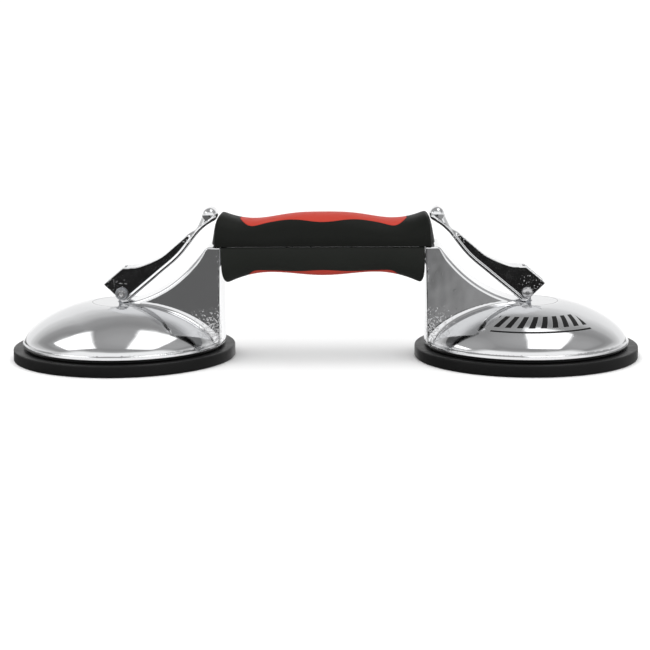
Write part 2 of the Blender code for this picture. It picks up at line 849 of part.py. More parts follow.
def make_insert(name, collection, direction, top, bottom, margin):
    """A thin panel that follows the grip's skin, between two depths under it."""
    if direction > 0:
        height_at, width, length = upper_height, GRIP_HALF_WIDTH, UPPER_INSERT_HALF_LENGTH
    else:
        height_at, width, length = lower_depth, LOWER_HALF_WIDTH, LOWER_INSERT_HALF_LENGTH
    joint = GRIP_BASE + direction * GAP
    length += margin
    columns = 40
    rows = 6
    bm = bmesh.new()
    bmesh.ops.create_grid(bm, x_segments=columns, y_segments=rows, size=1.0)
    edges = bmesh.ops.extrude_face_region(bm, geom=bm.faces[:])
    lower = {v for v in edges["geom"] if isinstance(v, bmesh.types.BMVert)}
    for vert in bm.verts:
        x = length * 0.995 * math.sin(math.pi / 2 * vert.co.x)
        y = vert.co.y * (insert_half_width(x, length) + margin)
        level = bottom if vert in lower else top
        z = section_height(y, width, height_at(x)) - level
        vert.co = (x, y, joint + direction * z)
    return object_from_bmesh(name, bm, collection)


def open_ends_for_bar(shell, cutters):
    """Openings in the lower shell's end walls, where the bar's ends pass through."""
    for side in (-1, 1):
        near = side * (BAR_HALF_LENGTH - 0.0040)
        far = side * (BAR_HALF_LENGTH + 0.0010)
        opening = box(
            f"{shell.name}_bar_opening_{side}",
            cutters,
            (min(near, far), -BAR_HALF_WIDTH - GAP, BAR_END_BOTTOM - GAP),
            (max(near, far), BAR_HALF_WIDTH + GAP, GRIP_BASE + GAP),
        )
        boolean(shell, as_cutter(opening), "DIFFERENCE", "MANIFOLD")


def make_grip_shell(name, direction, parts, cutters):
    """One hollow shell of the grip, with the insert's pocket and two screw bosses."""
    shell = grip_solid(name, parts, direction)
    hollow = grip_solid(name + "_hollow", cutters, direction, GRIP_WALL)
    pocket = make_insert(
        name + "_pocket", cutters, direction, -0.0020, INSERT_POCKET, 2 * GAP
    )
    boolean(shell, as_cutter(hollow), "DIFFERENCE", "MANIFOLD")
    if direction < 0:
        open_ends_for_bar(shell, cutters)
    for side in (-1, 1):
        x = side * GRIP_SCREW_X
        if direction > 0:
            crest = GRIP_BASE + upper_height(x) - BOSS_SINK
            start, end = BAR_TOP + 2 * GAP, crest
        else:
            crest = GRIP_BASE - lower_depth(x) + BOSS_SINK
            start, end = crest, BAR_END_BOTTOM - 2 * GAP
        profile = [(0, end), (GRIP_BOSS_RADIUS, end), (GRIP_BOSS_RADIUS, start), (0, start)]
        boss = turned(f"{name}_boss_{side}", profile, cutters, SMALL_STEPS)
        boss.location = (x, 0.0, 0.0)
        boss.rotation_euler = (0.0, 0.0, OFF_SEAM_TURN)
        boolean(shell, as_cutter(boss), "UNION", "MANIFOLD")
    boolean(shell, as_cutter(pocket), "DIFFERENCE", "MANIFOLD")
    cut_grip_screw_holes(shell, cutters)
    return shell


def make_grip_screw(name, collection, side, clearance=0.0):
    """A long screw that goes up through the lower shell and the bar, or its hole."""
    head_top = GRIP_BASE - lower_depth(GRIP_SCREW_X) + GRIP_SCREW_SINK
    head_bottom = head_top - (GRIP_POCKET_DEPTH if clearance else GRIP_SCREW_HEAD_HEIGHT)
    tip = BAR_TOP + GRIP_SCREW_REACH + clearance
    profile = [
        (0.0, tip),
        (GRIP_SCREW_RADIUS + clearance, tip),
        (GRIP_SCREW_RADIUS + clearance, head_top + clearance),
        (GRIP_SCREW_HEAD_RADIUS + clearance, head_top + clearance),
        (GRIP_SCREW_HEAD_RADIUS + clearance, head_bottom),
        (0.0, head_bottom),
    ]
    screw = turned(name, profile, collection, SCREW_STEPS)
    screw.location = (side * GRIP_SCREW_X, 0.0, 0.0)
    screw.rotation_euler = (0.0, 0.0, OFF_SEAM_TURN)
    return screw


def cut_grip_screw_holes(obj, cutters):
    for side in (-1, 1):
        hole = make_grip_screw(f"{obj.name}_hole_{side}", cutters, side, SCREW_CLEARANCE)
        boolean(obj, as_cutter(hole), "DIFFERENCE", "MANIFOLD")


def make_handle_bar(name, parts, cutters):
    """The bar inside the grip that ties the two housings together."""
    bar = box(
        name,
        parts,
        (-BAR_HALF_LENGTH, -BAR_HALF_WIDTH, BAR_BOTTOM),
        (BAR_HALF_LENGTH, BAR_HALF_WIDTH, BAR_TOP),
    )
    for end in (-1, 1):
        near = end * (BAR_HALF_LENGTH - BAR_END_LENGTH)
        far = end * BAR_HALF_LENGTH
        foot = box(
            f"{name}_end_{end}",
            cutters,
            (min(near, far), -BAR_HALF_WIDTH, BAR_END_BOTTOM),
            (max(near, far), BAR_HALF_WIDTH, BAR_BOTTOM + 0.0040),
        )
        boolean(bar, as_cutter(foot), "UNION")
    bevel(bar, BAR_EDGE)
    cut_grip_screw_holes(bar, cutters)
    reach = BAR_SCREW_LENGTH + 0.001
    for end in (-1, 1):
        for side in (-1, 1):
            face = end * (BAR_HALF_LENGTH + 0.001)
            hole = cylinder(
                f"{name}_bore_{end}_{side}",
                cutters,
                BAR_SCREW_RADIUS + SCREW_CLEARANCE,
                (face - end * reach, side * BAR_SCREW_Y, BAR_SCREW_Z),
                (face, side * BAR_SCREW_Y, BAR_SCREW_Z),
            )
            boolean(bar, as_cutter(hole), "DIFFERENCE")
    return bar


def make_bar_screw(name, parts, side):
    """A screw that goes from inside the hollow arm into the end of the bar."""
    head_face = ARM_WALL_X - WALL - GAP
    profile = [
        (0.0, BAR_SCREW_LENGTH),
        (BAR_SCREW_RADIUS, BAR_SCREW_LENGTH),
        (BAR_SCREW_RADIUS, 0.0),
        (BAR_SCREW_HEAD_RADIUS, 0.0),
        (BAR_SCREW_HEAD_RADIUS, -BAR_SCREW_HEAD_HEIGHT),
        (0.0, -BAR_SCREW_HEAD_HEIGHT),
    ]
    screw = turned(name, profile, parts, SCREW_STEPS)
    screw.rotation_euler = (0.0, math.radians(90.0), 0.0)
    screw.location = (head_face, side * BAR_SCREW_Y, BAR_SCREW_Z)
    return screw


# ---------------------------------------------------------------- assembly
def make_cup(side, place, parts, cutters, materials):
    """All the pieces of one cup, under an empty on the cup's axis."""
    pieces = [
        (make_rubber_pad(f"{side}_rubber_pad", parts), "rubber"),
        (make_housing(f"{side}_housing", parts, cutters), "chrome"),
        (make_pull_plate(f"{side}_pull_plate", parts), "steel"),
        (make_pull_stem(f"{side}_pull_stem", parts, cutters), "steel"),
        (make_stem_nut(f"{side}_stem_nut", parts, cutters), "steel"),
        (make_return_spring(f"{side}_return_spring", parts), "spring_steel"),
        (make_pivot_pin(f"{side}_pivot_pin", parts), "steel"),
        (make_pin_retainer(f"{side}_pin_retainer", parts), "steel"),
        (make_lever(f"{side}_lever", parts, cutters), "chrome"),
        (make_bar_screw(f"{side}_bar_screw_a", parts, -1), "steel"),
        (make_bar_screw(f"{side}_bar_screw_b", parts, 1), "steel"),
    ]
    for obj, material in pieces:
        finish_part(obj, materials[material])
    for obj in (*parts.objects, *cutters.objects):
        if obj.name.startswith(side) and obj is not place:
            obj.parent = place


def make_grip(parts, cutters, materials):
    pieces = (
        (make_handle_bar("handle_bar", parts, cutters), "aluminium"),
        (make_grip_shell("upper_grip", 1, parts, cutters), "black_grip"),
        (make_grip_shell("lower_grip", -1, parts, cutters), "black_grip"),
        (make_insert("upper_red_insert", parts, 1, 0.0, INSERT_THICKNESS, 0.0), "red_insert"),
        (make_insert("lower_red_insert", parts, -1, 0.0, INSERT_THICKNESS, 0.0), "red_insert"),
        (make_grip_screw("left_grip_screw", parts, -1), "steel"),
        (make_grip_screw("right_grip_screw", parts, 1), "steel"),
    )
    for obj, material in pieces:
        finish_part(obj, materials[material])


def main():
    clear_scene()
    parts = new_collection("vacuum_suction_lifter")
    cutters = new_collection("cutters")
    materials = {name: make_material(name) for name in MATERIALS}
    for side, direction in (("left", -1), ("right", 1)):
        place = bpy.data.objects.new(f"{side}_cup_axis", None)
        parts.objects.link(place)
        place.location = (direction * CUP_SPACING / 2, 0.0, 0.0)
        place.rotation_euler = (0.0, 0.0, math.pi if direction > 0 else 0.0)
        make_cup(side, place, parts, cutters, materials)
    make_grip(parts, cutters, materials)
    bpy.context.view_layer.update()


main()
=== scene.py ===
"""Looks of the double vacuum suction lifter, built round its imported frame.

Each cup's pieces are shaped once in the cup's own frame (origin on the cup's axis at the
base, +X towards the grip) and placed twice, half a turn apart.  The cast and formed metal
pieces are solids of smoothly blended distance fields, the turned pieces are revolved
profiles, and the grip's shells are lofts with their openings cut out.  Sizes are metres.
"""

import json
import math

import bmesh
import bpy
import numpy as np
from mathutils import Matrix, Vector


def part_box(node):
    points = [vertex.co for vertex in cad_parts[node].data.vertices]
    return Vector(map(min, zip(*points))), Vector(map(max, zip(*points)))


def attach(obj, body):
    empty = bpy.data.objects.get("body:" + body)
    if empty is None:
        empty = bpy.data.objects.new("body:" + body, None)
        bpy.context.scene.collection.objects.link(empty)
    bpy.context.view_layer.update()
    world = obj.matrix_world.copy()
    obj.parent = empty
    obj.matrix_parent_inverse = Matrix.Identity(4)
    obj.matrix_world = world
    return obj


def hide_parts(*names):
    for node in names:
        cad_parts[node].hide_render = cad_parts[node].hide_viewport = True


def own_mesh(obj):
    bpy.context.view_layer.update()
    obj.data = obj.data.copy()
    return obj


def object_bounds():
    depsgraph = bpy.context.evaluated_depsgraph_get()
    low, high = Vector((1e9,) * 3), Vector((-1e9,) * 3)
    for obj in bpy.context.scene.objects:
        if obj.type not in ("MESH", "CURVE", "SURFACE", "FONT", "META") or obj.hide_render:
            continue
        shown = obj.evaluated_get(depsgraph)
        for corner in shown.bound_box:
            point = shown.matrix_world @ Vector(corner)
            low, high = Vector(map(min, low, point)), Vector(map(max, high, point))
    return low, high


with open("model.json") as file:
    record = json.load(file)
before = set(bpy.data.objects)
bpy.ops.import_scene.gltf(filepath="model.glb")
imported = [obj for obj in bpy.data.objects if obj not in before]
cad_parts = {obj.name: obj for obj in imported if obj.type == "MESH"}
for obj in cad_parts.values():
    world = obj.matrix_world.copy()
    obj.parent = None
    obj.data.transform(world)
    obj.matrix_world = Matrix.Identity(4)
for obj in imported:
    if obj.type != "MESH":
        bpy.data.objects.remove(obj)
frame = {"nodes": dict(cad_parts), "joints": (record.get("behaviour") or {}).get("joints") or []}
CAD_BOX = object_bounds()


# ------------------------ sizes from the frame
def joint_named(name):
    return next(joint for joint in frame["joints"] if joint["name"] == name)


def node_size(name):
    low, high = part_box(name)
    return high - low


PIVOT = Vector(joint_named("right_lever_turn")["pos_m"])
CUP_X = PIVOT.x  # from the middle of the grip to a cup's axis
PIN_HEIGHT = PIVOT.z
RUBBER_RADIUS = node_size("left_rubber_pad").x / 2
RIM_RADIUS = node_size("left_housing").x / 2
RIM_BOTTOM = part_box("left_housing")[0].z
ARM_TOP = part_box("left_housing")[1].z
LEVER_HALF_WIDTH = node_size("left_lever").y / 2
GRIP_HALF_WIDTH = node_size("upper_grip").y / 2
LOWER_HALF_WIDTH = node_size("lower_grip").y / 2
UPPER_HALF_LENGTH = node_size("upper_grip").x / 2
LOWER_HALF_LENGTH = node_size("lower_grip").x / 2

# ------------------------ rubber disc and housing
GAP = 0.0003  # between pieces that rest on each other
RUBBER_TOP = 0.0061
RUBBER_HOLLOW = 0.0012  # depth of the hollow in the disc's underside
RUBBER_EDGE = 0.0007
WALL = 0.0028
RIM_TOP = 0.0100
RIM_BAND_TOP = 0.0098
RIM_BAND_DEPTH = 0.0045
RIM_DRAFT = 0.15
DOME_EDGE_RADIUS = 0.0540
DOME_EXPONENT = 1.5  # superellipse exponent of the dome's section
CAM_PAD_RADIUS = 0.0175
CAM_PAD_HEIGHT = 0.0298
STEM_BOSS_RADIUS = 0.0070
STEM_BOSS_BOTTOM = 0.0215
STEM_HOLE_RADIUS = 0.0031

ARM_TOE_X = 0.0030
ARM_WALL_X = 0.0544
ARM_WALL_FOOT_X = 0.0548
ARM_WALL_FOOT_CURVE = 4.8  # how fast the wall's foot falls back at its sides
ARM_TOE_HALF_WIDTH = 0.0112
ARM_HALF_WIDTH = 0.0182
ARM_SLOPE_END_X = 0.0465
ARM_SLOPE_START_Z = 0.0300
ARM_SLOPE_RATE = 0.286
ARM_SLOPE_CURVE = 0.0181
ARM_SLOPE_POWER = 2.67
ARM_EDGE = 0.0007  # radius of the arm's rounded edges
ARM_SLOPE_EDGE = 0.0020  # and along the concave slope
ARM_FILLET_TOE = 0.0012  # fillet between arm and dome, growing downhill
ARM_FILLET_RIM = 0.0034

BAR_SCREW_Y = 0.0048
BAR_SCREW_Z = 0.0528
BAR_SCREW_HOLE = 0.0023

# ------------------------ lever, pin and stem
PIN_RADIUS = 0.0020
PIN_HOLE_RADIUS = 0.0023
PIN_HEAD_RADIUS = 0.0029
PIN_HEAD_HEIGHT = 0.0016
PIN_END_LENGTH = 0.0015
RETAINER_RADIUS = 0.0033
RETAINER_THICKNESS = 0.0009
STEM_RADIUS = 0.0027
STEM_EYE_RADIUS = 0.0037
STEM_EYE_HALF_WIDTH = 0.0033
SPRING_RADIUS = 0.0092
SPRING_WIRE_RADIUS = 0.0007
SPRING_TURNS = 3.5
SPRING_TURN_STEPS = 36
SPRING_WIRE_SIDES = 12

LEVER_CHEEK_INSET = 0.0007  # of the cheeks behind the flange's edges
LEVER_FLANGE = 0.0017  # thickness of the flange along the underside
LEVER_SLOT_HALF_WIDTH = 0.0037
LEVER_SLOT_DEPTH = 0.0105
LEVER_ARM_ANGLE = math.radians(41.0)
CAM_CORNERS = ((-0.0098, 0.0051), (0.0004, -0.0048), (0.0007, 0.0138))
CAM_TOP_END = (0.0050, 0.0140)
CAM_CORNER_RADIUS = 0.0010
CAM_CROWN_RADIUS = 0.0010
LEVER_TOP = (
    *((0.0040, 0.01385), (0.0104, 0.0148), (0.0213, 0.0195), (0.0295, 0.0260)),
    *((0.0366, 0.0320), (0.0404, 0.0344), (0.0428, 0.0388)),
)
LEVER_UNDERSIDE = (
    *((0.0512, 0.0398), (0.0431, 0.0338), (0.0321, 0.0204)),
    *((0.0211, 0.0109), (0.0101, 0.0017), (0.0027, -0.0045)),
)
LEVER_CURVE_STEPS = 6
LIP_CENTRE = (0.0481, 0.0419)
LIP_RADIUS = 0.0037
LIP_START = math.radians(170.0)
LIP_SWEEP = math.radians(-185.0)
LIP_STEPS = 24
LEVER_EDGE = 0.0003
LEVER_NECK_EDGE = 0.0036  # past the cheeks' end the lever is rounded
LEVER_CHEEK_END = 0.0470  # along the lever, from the pin

# ------------------------ grip
GRIP_BASE = ARM_TOP
GRIP_EXPONENT = 2.4
GRIP_WALL = 0.0028
END_FOOT_HEIGHT = 0.0010
UPPER_HEIGHT = 0.0164
UPPER_WAIST_X = 0.0370
UPPER_WAIST_DROP = 0.0033
UPPER_RISE_X = 0.0530
UPPER_TALLEST = 0.0174
UPPER_END_LEAN = 0.17
UPPER_END_ROUND = 0.0023
UPPER_END_BULGE = 0.0022  # of the end's middle beyond its sides
BULGE_START_X = 0.0460
LOWER_DEPTH = 0.0168
LOWER_WAIST_X = 0.0280
LOWER_WAIST_RISE = 0.0018
LOWER_END_DROP = 0.0062
LOWER_DROP_X = 0.0524
LOWER_TALLEST = 0.0225
LOWER_END_ROUND = 0.0034
END_ROUND_POWER = 6
CORNER_SHARPNESS = 24  # between the grip's top and its end faces

INSERT_THICKNESS = 0.0011
INSERT_POCKET = 0.0015
INSERT_SEAM = 0.0002  # gap round an insert
INSERT_EDGE = 0.0003
INSERT_HALF_WIDTH = 0.0116
INSERT_WAVE = 0.0015
INSERT_NARROW_X = 0.0225
INSERT_LOBE_SPAN = 0.0165
INSERT_LOBE_POWER = 1.7
UPPER_INSERT_HALF_LENGTH = 0.0446
LOWER_INSERT_HALF_LENGTH = 0.0408

BAR_HALF_LENGTH = 0.0539
BAR_HALF_WIDTH = 0.0095
BAR_TOP = 0.0690
BAR_END_BOTTOM = 0.0495
GRIP_SCREW_X = 0.0480
GRIP_SCREW_HEAD_RADIUS = 0.0029
GRIP_SCREW_SINK = 0.0042
GRIP_BOSS_RADIUS = 0.0045

# ------------------------ print on the right dome
MARK_REACH = 0.0370  # from the cup's axis to the middle of the print
MARK_PITCH = 0.0056
MARK_BARS = (0.0320, 0.0415)
MARK_LINE = (0.0436, 0.0448)
MARK_SPAN = (-0.0290, 0.0190)

# ------------------------ finish of the meshes
HOUSING_CELL = 0.00060
LEVER_CELL = 0.00030
STEM_CELL = 0.00035
SHARP_ANGLE = math.radians(35.0)
TURN_STEPS = 192
SMALL_TURN_STEPS = 64
GRIP_COLUMNS = 110
GRIP_ROWS = 56

# ------------------------ camera and studio
CAMERA_LENS = 93.85
CAMERA_PLACE = (0.00035, -0.90292, 0.18201)  # before the turn by the yaw
CAMERA_YAW = math.radians(2.0155)
CAMERA_PITCH = math.radians(10.391)
CAMERA_ROLL = math.radians(-0.483)
CARD_BRIGHTNESS = 1.8
FLOOR_WIDTH = 800.0


# ------------------------ distance fields
def meet(a, b, radius):
    """The solid inside both fields, with its edge rounded."""
    corner = np.hypot(np.maximum(a + radius, 0.0), np.maximum(b + radius, 0.0))
    return np.minimum(np.maximum(a, b), -radius) + corner


def join(a, b, radius):
    """The solid inside either field, with a fillet between them."""
    corner = np.hypot(np.maximum(radius - a, 0.0), np.maximum(radius - b, 0.0))
    return np.maximum(np.minimum(a, b), radius) - corner


def smooth_step(value, start, end):
    share = np.clip((value - start) / (end - start), 0.0, 1.0)
    return share * share * (3.0 - 2.0 * share)


def dome_distance(x, y, z):
    """Nearly the distance to a superellipse dome with a flat top."""
    span = DOME_EDGE_RADIUS - CAM_PAD_RADIUS
    rise = CAM_PAD_HEIGHT - RIM_TOP
    along = np.maximum(np.hypot(x, y) - CAM_PAD_RADIUS, 0.0) / span
    height = np.maximum(z - RIM_TOP, 0.0) / rise
    value = along**DOME_EXPONENT + height**DOME_EXPONENT - 1.0
    slope = np.hypot(
        along ** (DOME_EXPONENT - 1.0) / span, height ** (DOME_EXPONENT - 1.0) / rise
    )
    return value / (DOME_EXPONENT * np.maximum(slope, 0.25 / span))


def arm_slope(x):
    """Height and steepness of the arm's concave slope."""
    along = x - ARM_TOE_X
    length = ARM_SLOPE_END_X - ARM_TOE_X
    share = np.maximum(along / length, 0.0)
    height = ARM_SLOPE_START_Z + ARM_SLOPE_RATE * along + ARM_SLOPE_CURVE * share**ARM_SLOPE_POWER
    curve_rate = ARM_SLOPE_CURVE / length * ARM_SLOPE_POWER
    steepness = ARM_SLOPE_RATE + curve_rate * share ** (ARM_SLOPE_POWER - 1.0)
    return height, steepness


def arm_side(x, y):
    """Distance past the arm's drafted side faces."""
    draft = (ARM_HALF_WIDTH - ARM_TOE_HALF_WIDTH) / (ARM_WALL_X - ARM_TOE_X)
    half_width = ARM_TOE_HALF_WIDTH + draft * (x - ARM_TOE_X)
    return (np.sqrt(y**2 + 1e-12) - half_width) / math.hypot(1.0, draft)


def arm_wall(x, y, z):
    """Distance past the upright wall, whose foot follows the rim and whose top is flat."""
    foot = ARM_WALL_FOOT_X - ARM_WALL_FOOT_CURVE * y**2
    share = np.clip((z - RIM_TOP) / (ARM_TOP - RIM_TOP), 0.0, 1.0)
    return x - (foot + (ARM_WALL_X - foot) * share)


def housing_outside(x, y, z):
    """The casting's outer surface: dome and arm, blended by a fillet, then the wall."""
    height, steepness = arm_slope(x)
    slope = (z - height) / np.hypot(1.0, steepness)
    crown = meet(slope, z - ARM_TOP, 2 * ARM_EDGE)
    edge = ARM_SLOPE_EDGE + (ARM_EDGE - ARM_SLOPE_EDGE) * smooth_step(x, 0.043, 0.048)
    arm = meet(crown, arm_side(x, y), edge)
    arm = np.maximum(arm, ARM_TOE_X - 0.002 - x)
    share = np.clip((x - ARM_TOE_X) / (ARM_WALL_X - ARM_TOE_X), 0.0, 1.0)
    fillet = ARM_FILLET_TOE + (ARM_FILLET_RIM - ARM_FILLET_TOE) * share
    body = join(dome_distance(x, y, z), arm, fillet)
    return meet(body, arm_wall(x, y, z), 0.6 * ARM_EDGE)


def rim_band(x, y, z):
    reach = np.hypot(x, y)
    outside = reach - RIM_RADIUS + RIM_DRAFT * (z - RIM_BOTTOM)
    across = np.maximum(outside, RIM_RADIUS - RIM_BAND_DEPTH - reach)
    middle = (RIM_BAND_TOP + RIM_BOTTOM) / 2
    return meet(across, np.abs(z - middle) - (RIM_BAND_TOP - middle), 0.0006)


def housing_field(x, y, z):
    """The hollow casting: outer skin less its inside, the stem's boss and the holes."""
    outside = housing_outside(x, y, z)
    shell = np.maximum(outside, -(outside + WALL))
    reach = np.hypot(x, y)
    boss = np.maximum(reach - STEM_BOSS_RADIUS, STEM_BOSS_BOTTOM - z)
    boss = np.maximum(boss, z - CAM_PAD_HEIGHT + WALL / 2)
    solid = join(np.maximum(shell, RIM_TOP - 0.0010 - z), rim_band(x, y, z), 0.0003)
    solid = np.minimum(solid, boss)
    hole = np.where(z > STEM_BOSS_BOTTOM - 0.002, STEM_HOLE_RADIUS - reach, -0.001)
    solid = meet(solid, hole, 0.0004)
    screw = np.hypot(np.abs(y) - BAR_SCREW_Y, z - BAR_SCREW_Z)
    return np.maximum(solid, np.where(x > 0.045, BAR_SCREW_HOLE - screw, -0.001))


def line_distance(x, z, points):
    """Distance to an open (x, z) line."""
    nearest = np.full(np.broadcast(x, z).shape, 1.0)
    for (ax, az), (bx, bz) in zip(points, points[1:]):
        ex, ez = bx - ax, bz - az
        share = ((x - ax) * ex + (z - az) * ez) / (ex * ex + ez * ez)
        share = np.clip(share, 0.0, 1.0)
        nearest = np.minimum(nearest, np.hypot(x - ax - share * ex, z - az - share * ez))
    return nearest


def polygon_distance(x, z, outline):
    """Signed distance to a closed (x, z) outline, negative inside it."""
    closed = [*outline, outline[0]]
    nearest = line_distance(x, z, closed)
    inside = np.zeros(nearest.shape, bool)
    for (ax, az), (bx, bz) in zip(closed, closed[1:]):
        if az != bz:
            crosses = (az > z) != (bz > z)
            inside ^= crosses & (x < (bx - ax) * (z - az) / (bz - az) + ax)
    return np.where(inside, -nearest, nearest)


def smooth_curve(points, steps):
    """Points along a Catmull-Rom curve through the given ones."""
    given = [np.array(point, float) for point in points]
    ends = [2 * given[0] - given[1], *given, 2 * given[-1] - given[-2]]
    curve = []
    for before, start, end, after in zip(ends, ends[1:], ends[2:], ends[3:]):
        for step in range(steps):
            t = step / steps
            bend = (2 * before - 5 * start + 4 * end - after) * t**2
            turn = (3 * start - before - 3 * end + after) * t**3
            curve.append(0.5 * (2 * start + (end - before) * t + bend + turn))
    return [tuple(point) for point in [*curve, given[-1]]]


def fillet_corner(before, corner, after, radius, steps=8):
    """Points of the arc that rounds one corner of an outline."""
    corner = np.array(corner)
    to_before = np.array(before) - corner
    to_after = np.array(after) - corner
    to_before /= np.linalg.norm(to_before)
    to_after /= np.linalg.norm(to_after)
    half_angle = math.acos(float(to_before @ to_after)) / 2.0
    bisector = (to_before + to_after) / np.linalg.norm(to_before + to_after)
    centre = corner + bisector * radius / math.sin(half_angle)
    start = corner + to_before * radius / math.tan(half_angle) - centre
    end = corner + to_after * radius / math.tan(half_angle) - centre
    sweep = math.acos(float(start @ end) / radius**2)
    points = []
    for step in range(steps + 1):
        t = step / steps
        near = math.sin((1 - t) * sweep) * start + math.sin(t * sweep) * end
        points.append(tuple(centre + near / math.sin(sweep)))
    return points


def lever_lines():
    """The lever's closed side outline about its pin, and its underside alone."""
    heel, foot, crown = CAM_CORNERS
    cam = [
        *fillet_corner(foot, heel, crown, CAM_CORNER_RADIUS),
        *fillet_corner(heel, crown, CAM_TOP_END, CAM_CROWN_RADIUS, 4),
    ]
    lip = []
    for step in range(LIP_STEPS + 1):
        angle = LIP_START + LIP_SWEEP * step / LIP_STEPS
        out, up = LIP_RADIUS * math.cos(angle), LIP_RADIUS * math.sin(angle)
        lip.append((LIP_CENTRE[0] + out, LIP_CENTRE[1] + up))
    top = smooth_curve(LEVER_TOP, LEVER_CURVE_STEPS)
    under = smooth_curve(LEVER_UNDERSIDE, LEVER_CURVE_STEPS)
    return [*cam, *top, *lip, *under, foot], [*under, foot]


def lever_field(x, y, z):
    """The lever about its pin: recessed cheeks, a flange along the underside, a fork."""
    outline, under = lever_lines()
    side = polygon_distance(x, z, outline)
    across = np.abs(y)
    along = x * math.cos(LEVER_ARM_ANGLE) + z * math.sin(LEVER_ARM_ANGLE)
    neck = smooth_step(along, LEVER_CHEEK_END, LEVER_CHEEK_END + 0.0025)
    edge = LEVER_EDGE + (LEVER_NECK_EDGE - LEVER_EDGE) * neck
    cheeks = meet(side, across - LEVER_HALF_WIDTH + LEVER_CHEEK_INSET, edge)
    band = line_distance(x, z, under) - LEVER_FLANGE
    flange = meet(meet(side, band, 0.0007), across - LEVER_HALF_WIDTH, 0.0005)
    lip = np.hypot(x - LIP_CENTRE[0], z - LIP_CENTRE[1]) - LIP_RADIUS
    lip = meet(lip, across - LEVER_HALF_WIDTH, LEVER_NECK_EDGE)
    solid = join(join(cheeks, flange, 0.0005), lip, 0.0008)
    slot = meet(along - LEVER_SLOT_DEPTH, across - LEVER_SLOT_HALF_WIDTH, 0.0012)
    hole = np.hypot(x, z) - PIN_HOLE_RADIUS
    return np.maximum(meet(solid, -slot, 0.0005), -hole)


def stem_field(x, y, z):
    """The pull stem: a round rod that ends in a flat eye round the pin."""
    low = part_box("left_pull_stem")[0].z
    rod = meet(np.hypot(x, y) - STEM_RADIUS, np.maximum(low - z, z - PIN_HEIGHT), 0.0004)
    eye = meet(
        np.hypot(x, z - PIN_HEIGHT) - STEM_EYE_RADIUS, np.abs(y) - STEM_EYE_HALF_WIDTH, 0.0005
    )
    return np.maximum(join(rod, eye, 0.0010), PIN_HOLE_RADIUS - np.hypot(x, z - PIN_HEIGHT))


def slope_of(field, points, reach=2e-5):
    """A field's gradient at points, one row each."""
    columns = []
    for axis in range(3):
        ahead, behind = points.copy(), points.copy()
        ahead[:, axis] += reach
        behind[:, axis] -= reach
        columns.append((field(*ahead.T) - field(*behind.T)) / (2 * reach))
    return np.stack(columns, axis=1)


def mesh_of_field(name, field, low, high, cell):
    """A closed mesh of the surface where a field is zero: one point in each cell that
    the surface crosses, moved onto it, with normals from the field's gradient."""
    low = np.array(low, float)
    counts = [int((end - start) / cell) + 2 for start, end in zip(low, high)]
    axes = [start + cell * np.arange(count) for start, count in zip(low, counts)]
    grid = np.meshgrid(*axes, indexing="ij", sparse=True)
    values = field(*grid)
    inside = values < 0.0
    corners = [np.array((i, j, k)) for i in (0, 1) for j in (0, 1) for k in (0, 1)]
    cells = np.array(values.shape) - 1

    def cell_corner(block, corner):
        return block[tuple(slice(c, c + n) for c, n in zip(corner, cells))]

    full = sum(cell_corner(inside, corner).astype(np.int8) for corner in corners)
    mixed = (full > 0) & (full < 8)
    places = np.argwhere(mixed)
    number = np.full(mixed.shape, -1, np.int64)
    number[mixed] = np.arange(len(places))
    at = [cell_corner(values, corner)[mixed] for corner in corners]
    total = np.zeros((len(places), 3))
    found = np.zeros(len(places))
    for first in range(8):
        for second in range(first + 1, 8):
            step = corners[second] - corners[first]
            if np.abs(step).sum() != 1:
                continue
            crossed = (at[first] < 0.0) != (at[second] < 0.0)
            share = at[first][crossed] / (at[first][crossed] - at[second][crossed])
            total[crossed] += corners[first] + share[:, None] * step
            found[crossed] += 1
    points = low + (places + total / found[:, None]) * cell
    for _ in range(4):
        slope = slope_of(field, points)
        steep = np.maximum((slope**2).sum(axis=1), 0.05)
        move = -(field(*points.T) / steep)[:, None] * slope
        length = np.maximum(np.linalg.norm(move, axis=1), 1e-12)
        points += move * np.minimum(1.0, 0.4 * cell / length)[:, None]
    normals = slope_of(field, points)
    normals /= np.maximum(np.linalg.norm(normals, axis=1), 1e-9)[:, None]
    faces = []
    for axis in range(3):
        u, v = (axis + 1) % 3, (axis + 2) % 3
        change = np.diff(inside.astype(np.int8), axis=axis)
        edges = np.argwhere(change != 0)
        keep = (edges[:, u] > 0) & (edges[:, v] > 0)
        keep &= (edges[:, u] < values.shape[u] - 1) & (edges[:, v] < values.shape[v] - 1)
        edges = edges[keep]
        leaving = change[tuple(edges.T)] < 0
        unit = np.eye(3, dtype=np.int64)
        ring = [edges - unit[u] - unit[v], edges - unit[v], edges, edges - unit[u]]
        quads = np.stack([number[tuple(corner.T)] for corner in ring], axis=1)
        faces.append(np.where(leaving[:, None], quads, quads[:, ::-1]))
    mesh = bpy.data.meshes.new(name)
    mesh.from_pydata(points.tolist(), [], np.concatenate(faces).tolist())
    mesh.shade_smooth()
    mesh.normals_split_custom_set_from_vertices(normals.tolist())
    return mesh


# ------------------------ meshes and placing
def new_object(name, data):
    obj = bpy.data.objects.new(name, data)
    bpy.context.scene.collection.objects.link(obj)
    return obj


def paint(mesh, material):
    mesh.materials.clear()
    mesh.materials.append(material)


def shade(mesh):
    """Smooth shading, except across the sharp edges."""
    mesh.shade_smooth()
    mesh.set_sharp_from_angle(angle=SHARP_ANGLE)


def written(name, bm):
    """The mesh that a bmesh holds; the bmesh is then freed."""
    mesh = bpy.data.meshes.new(name)
    bm.to_mesh(mesh)
    bm.free()
    return mesh


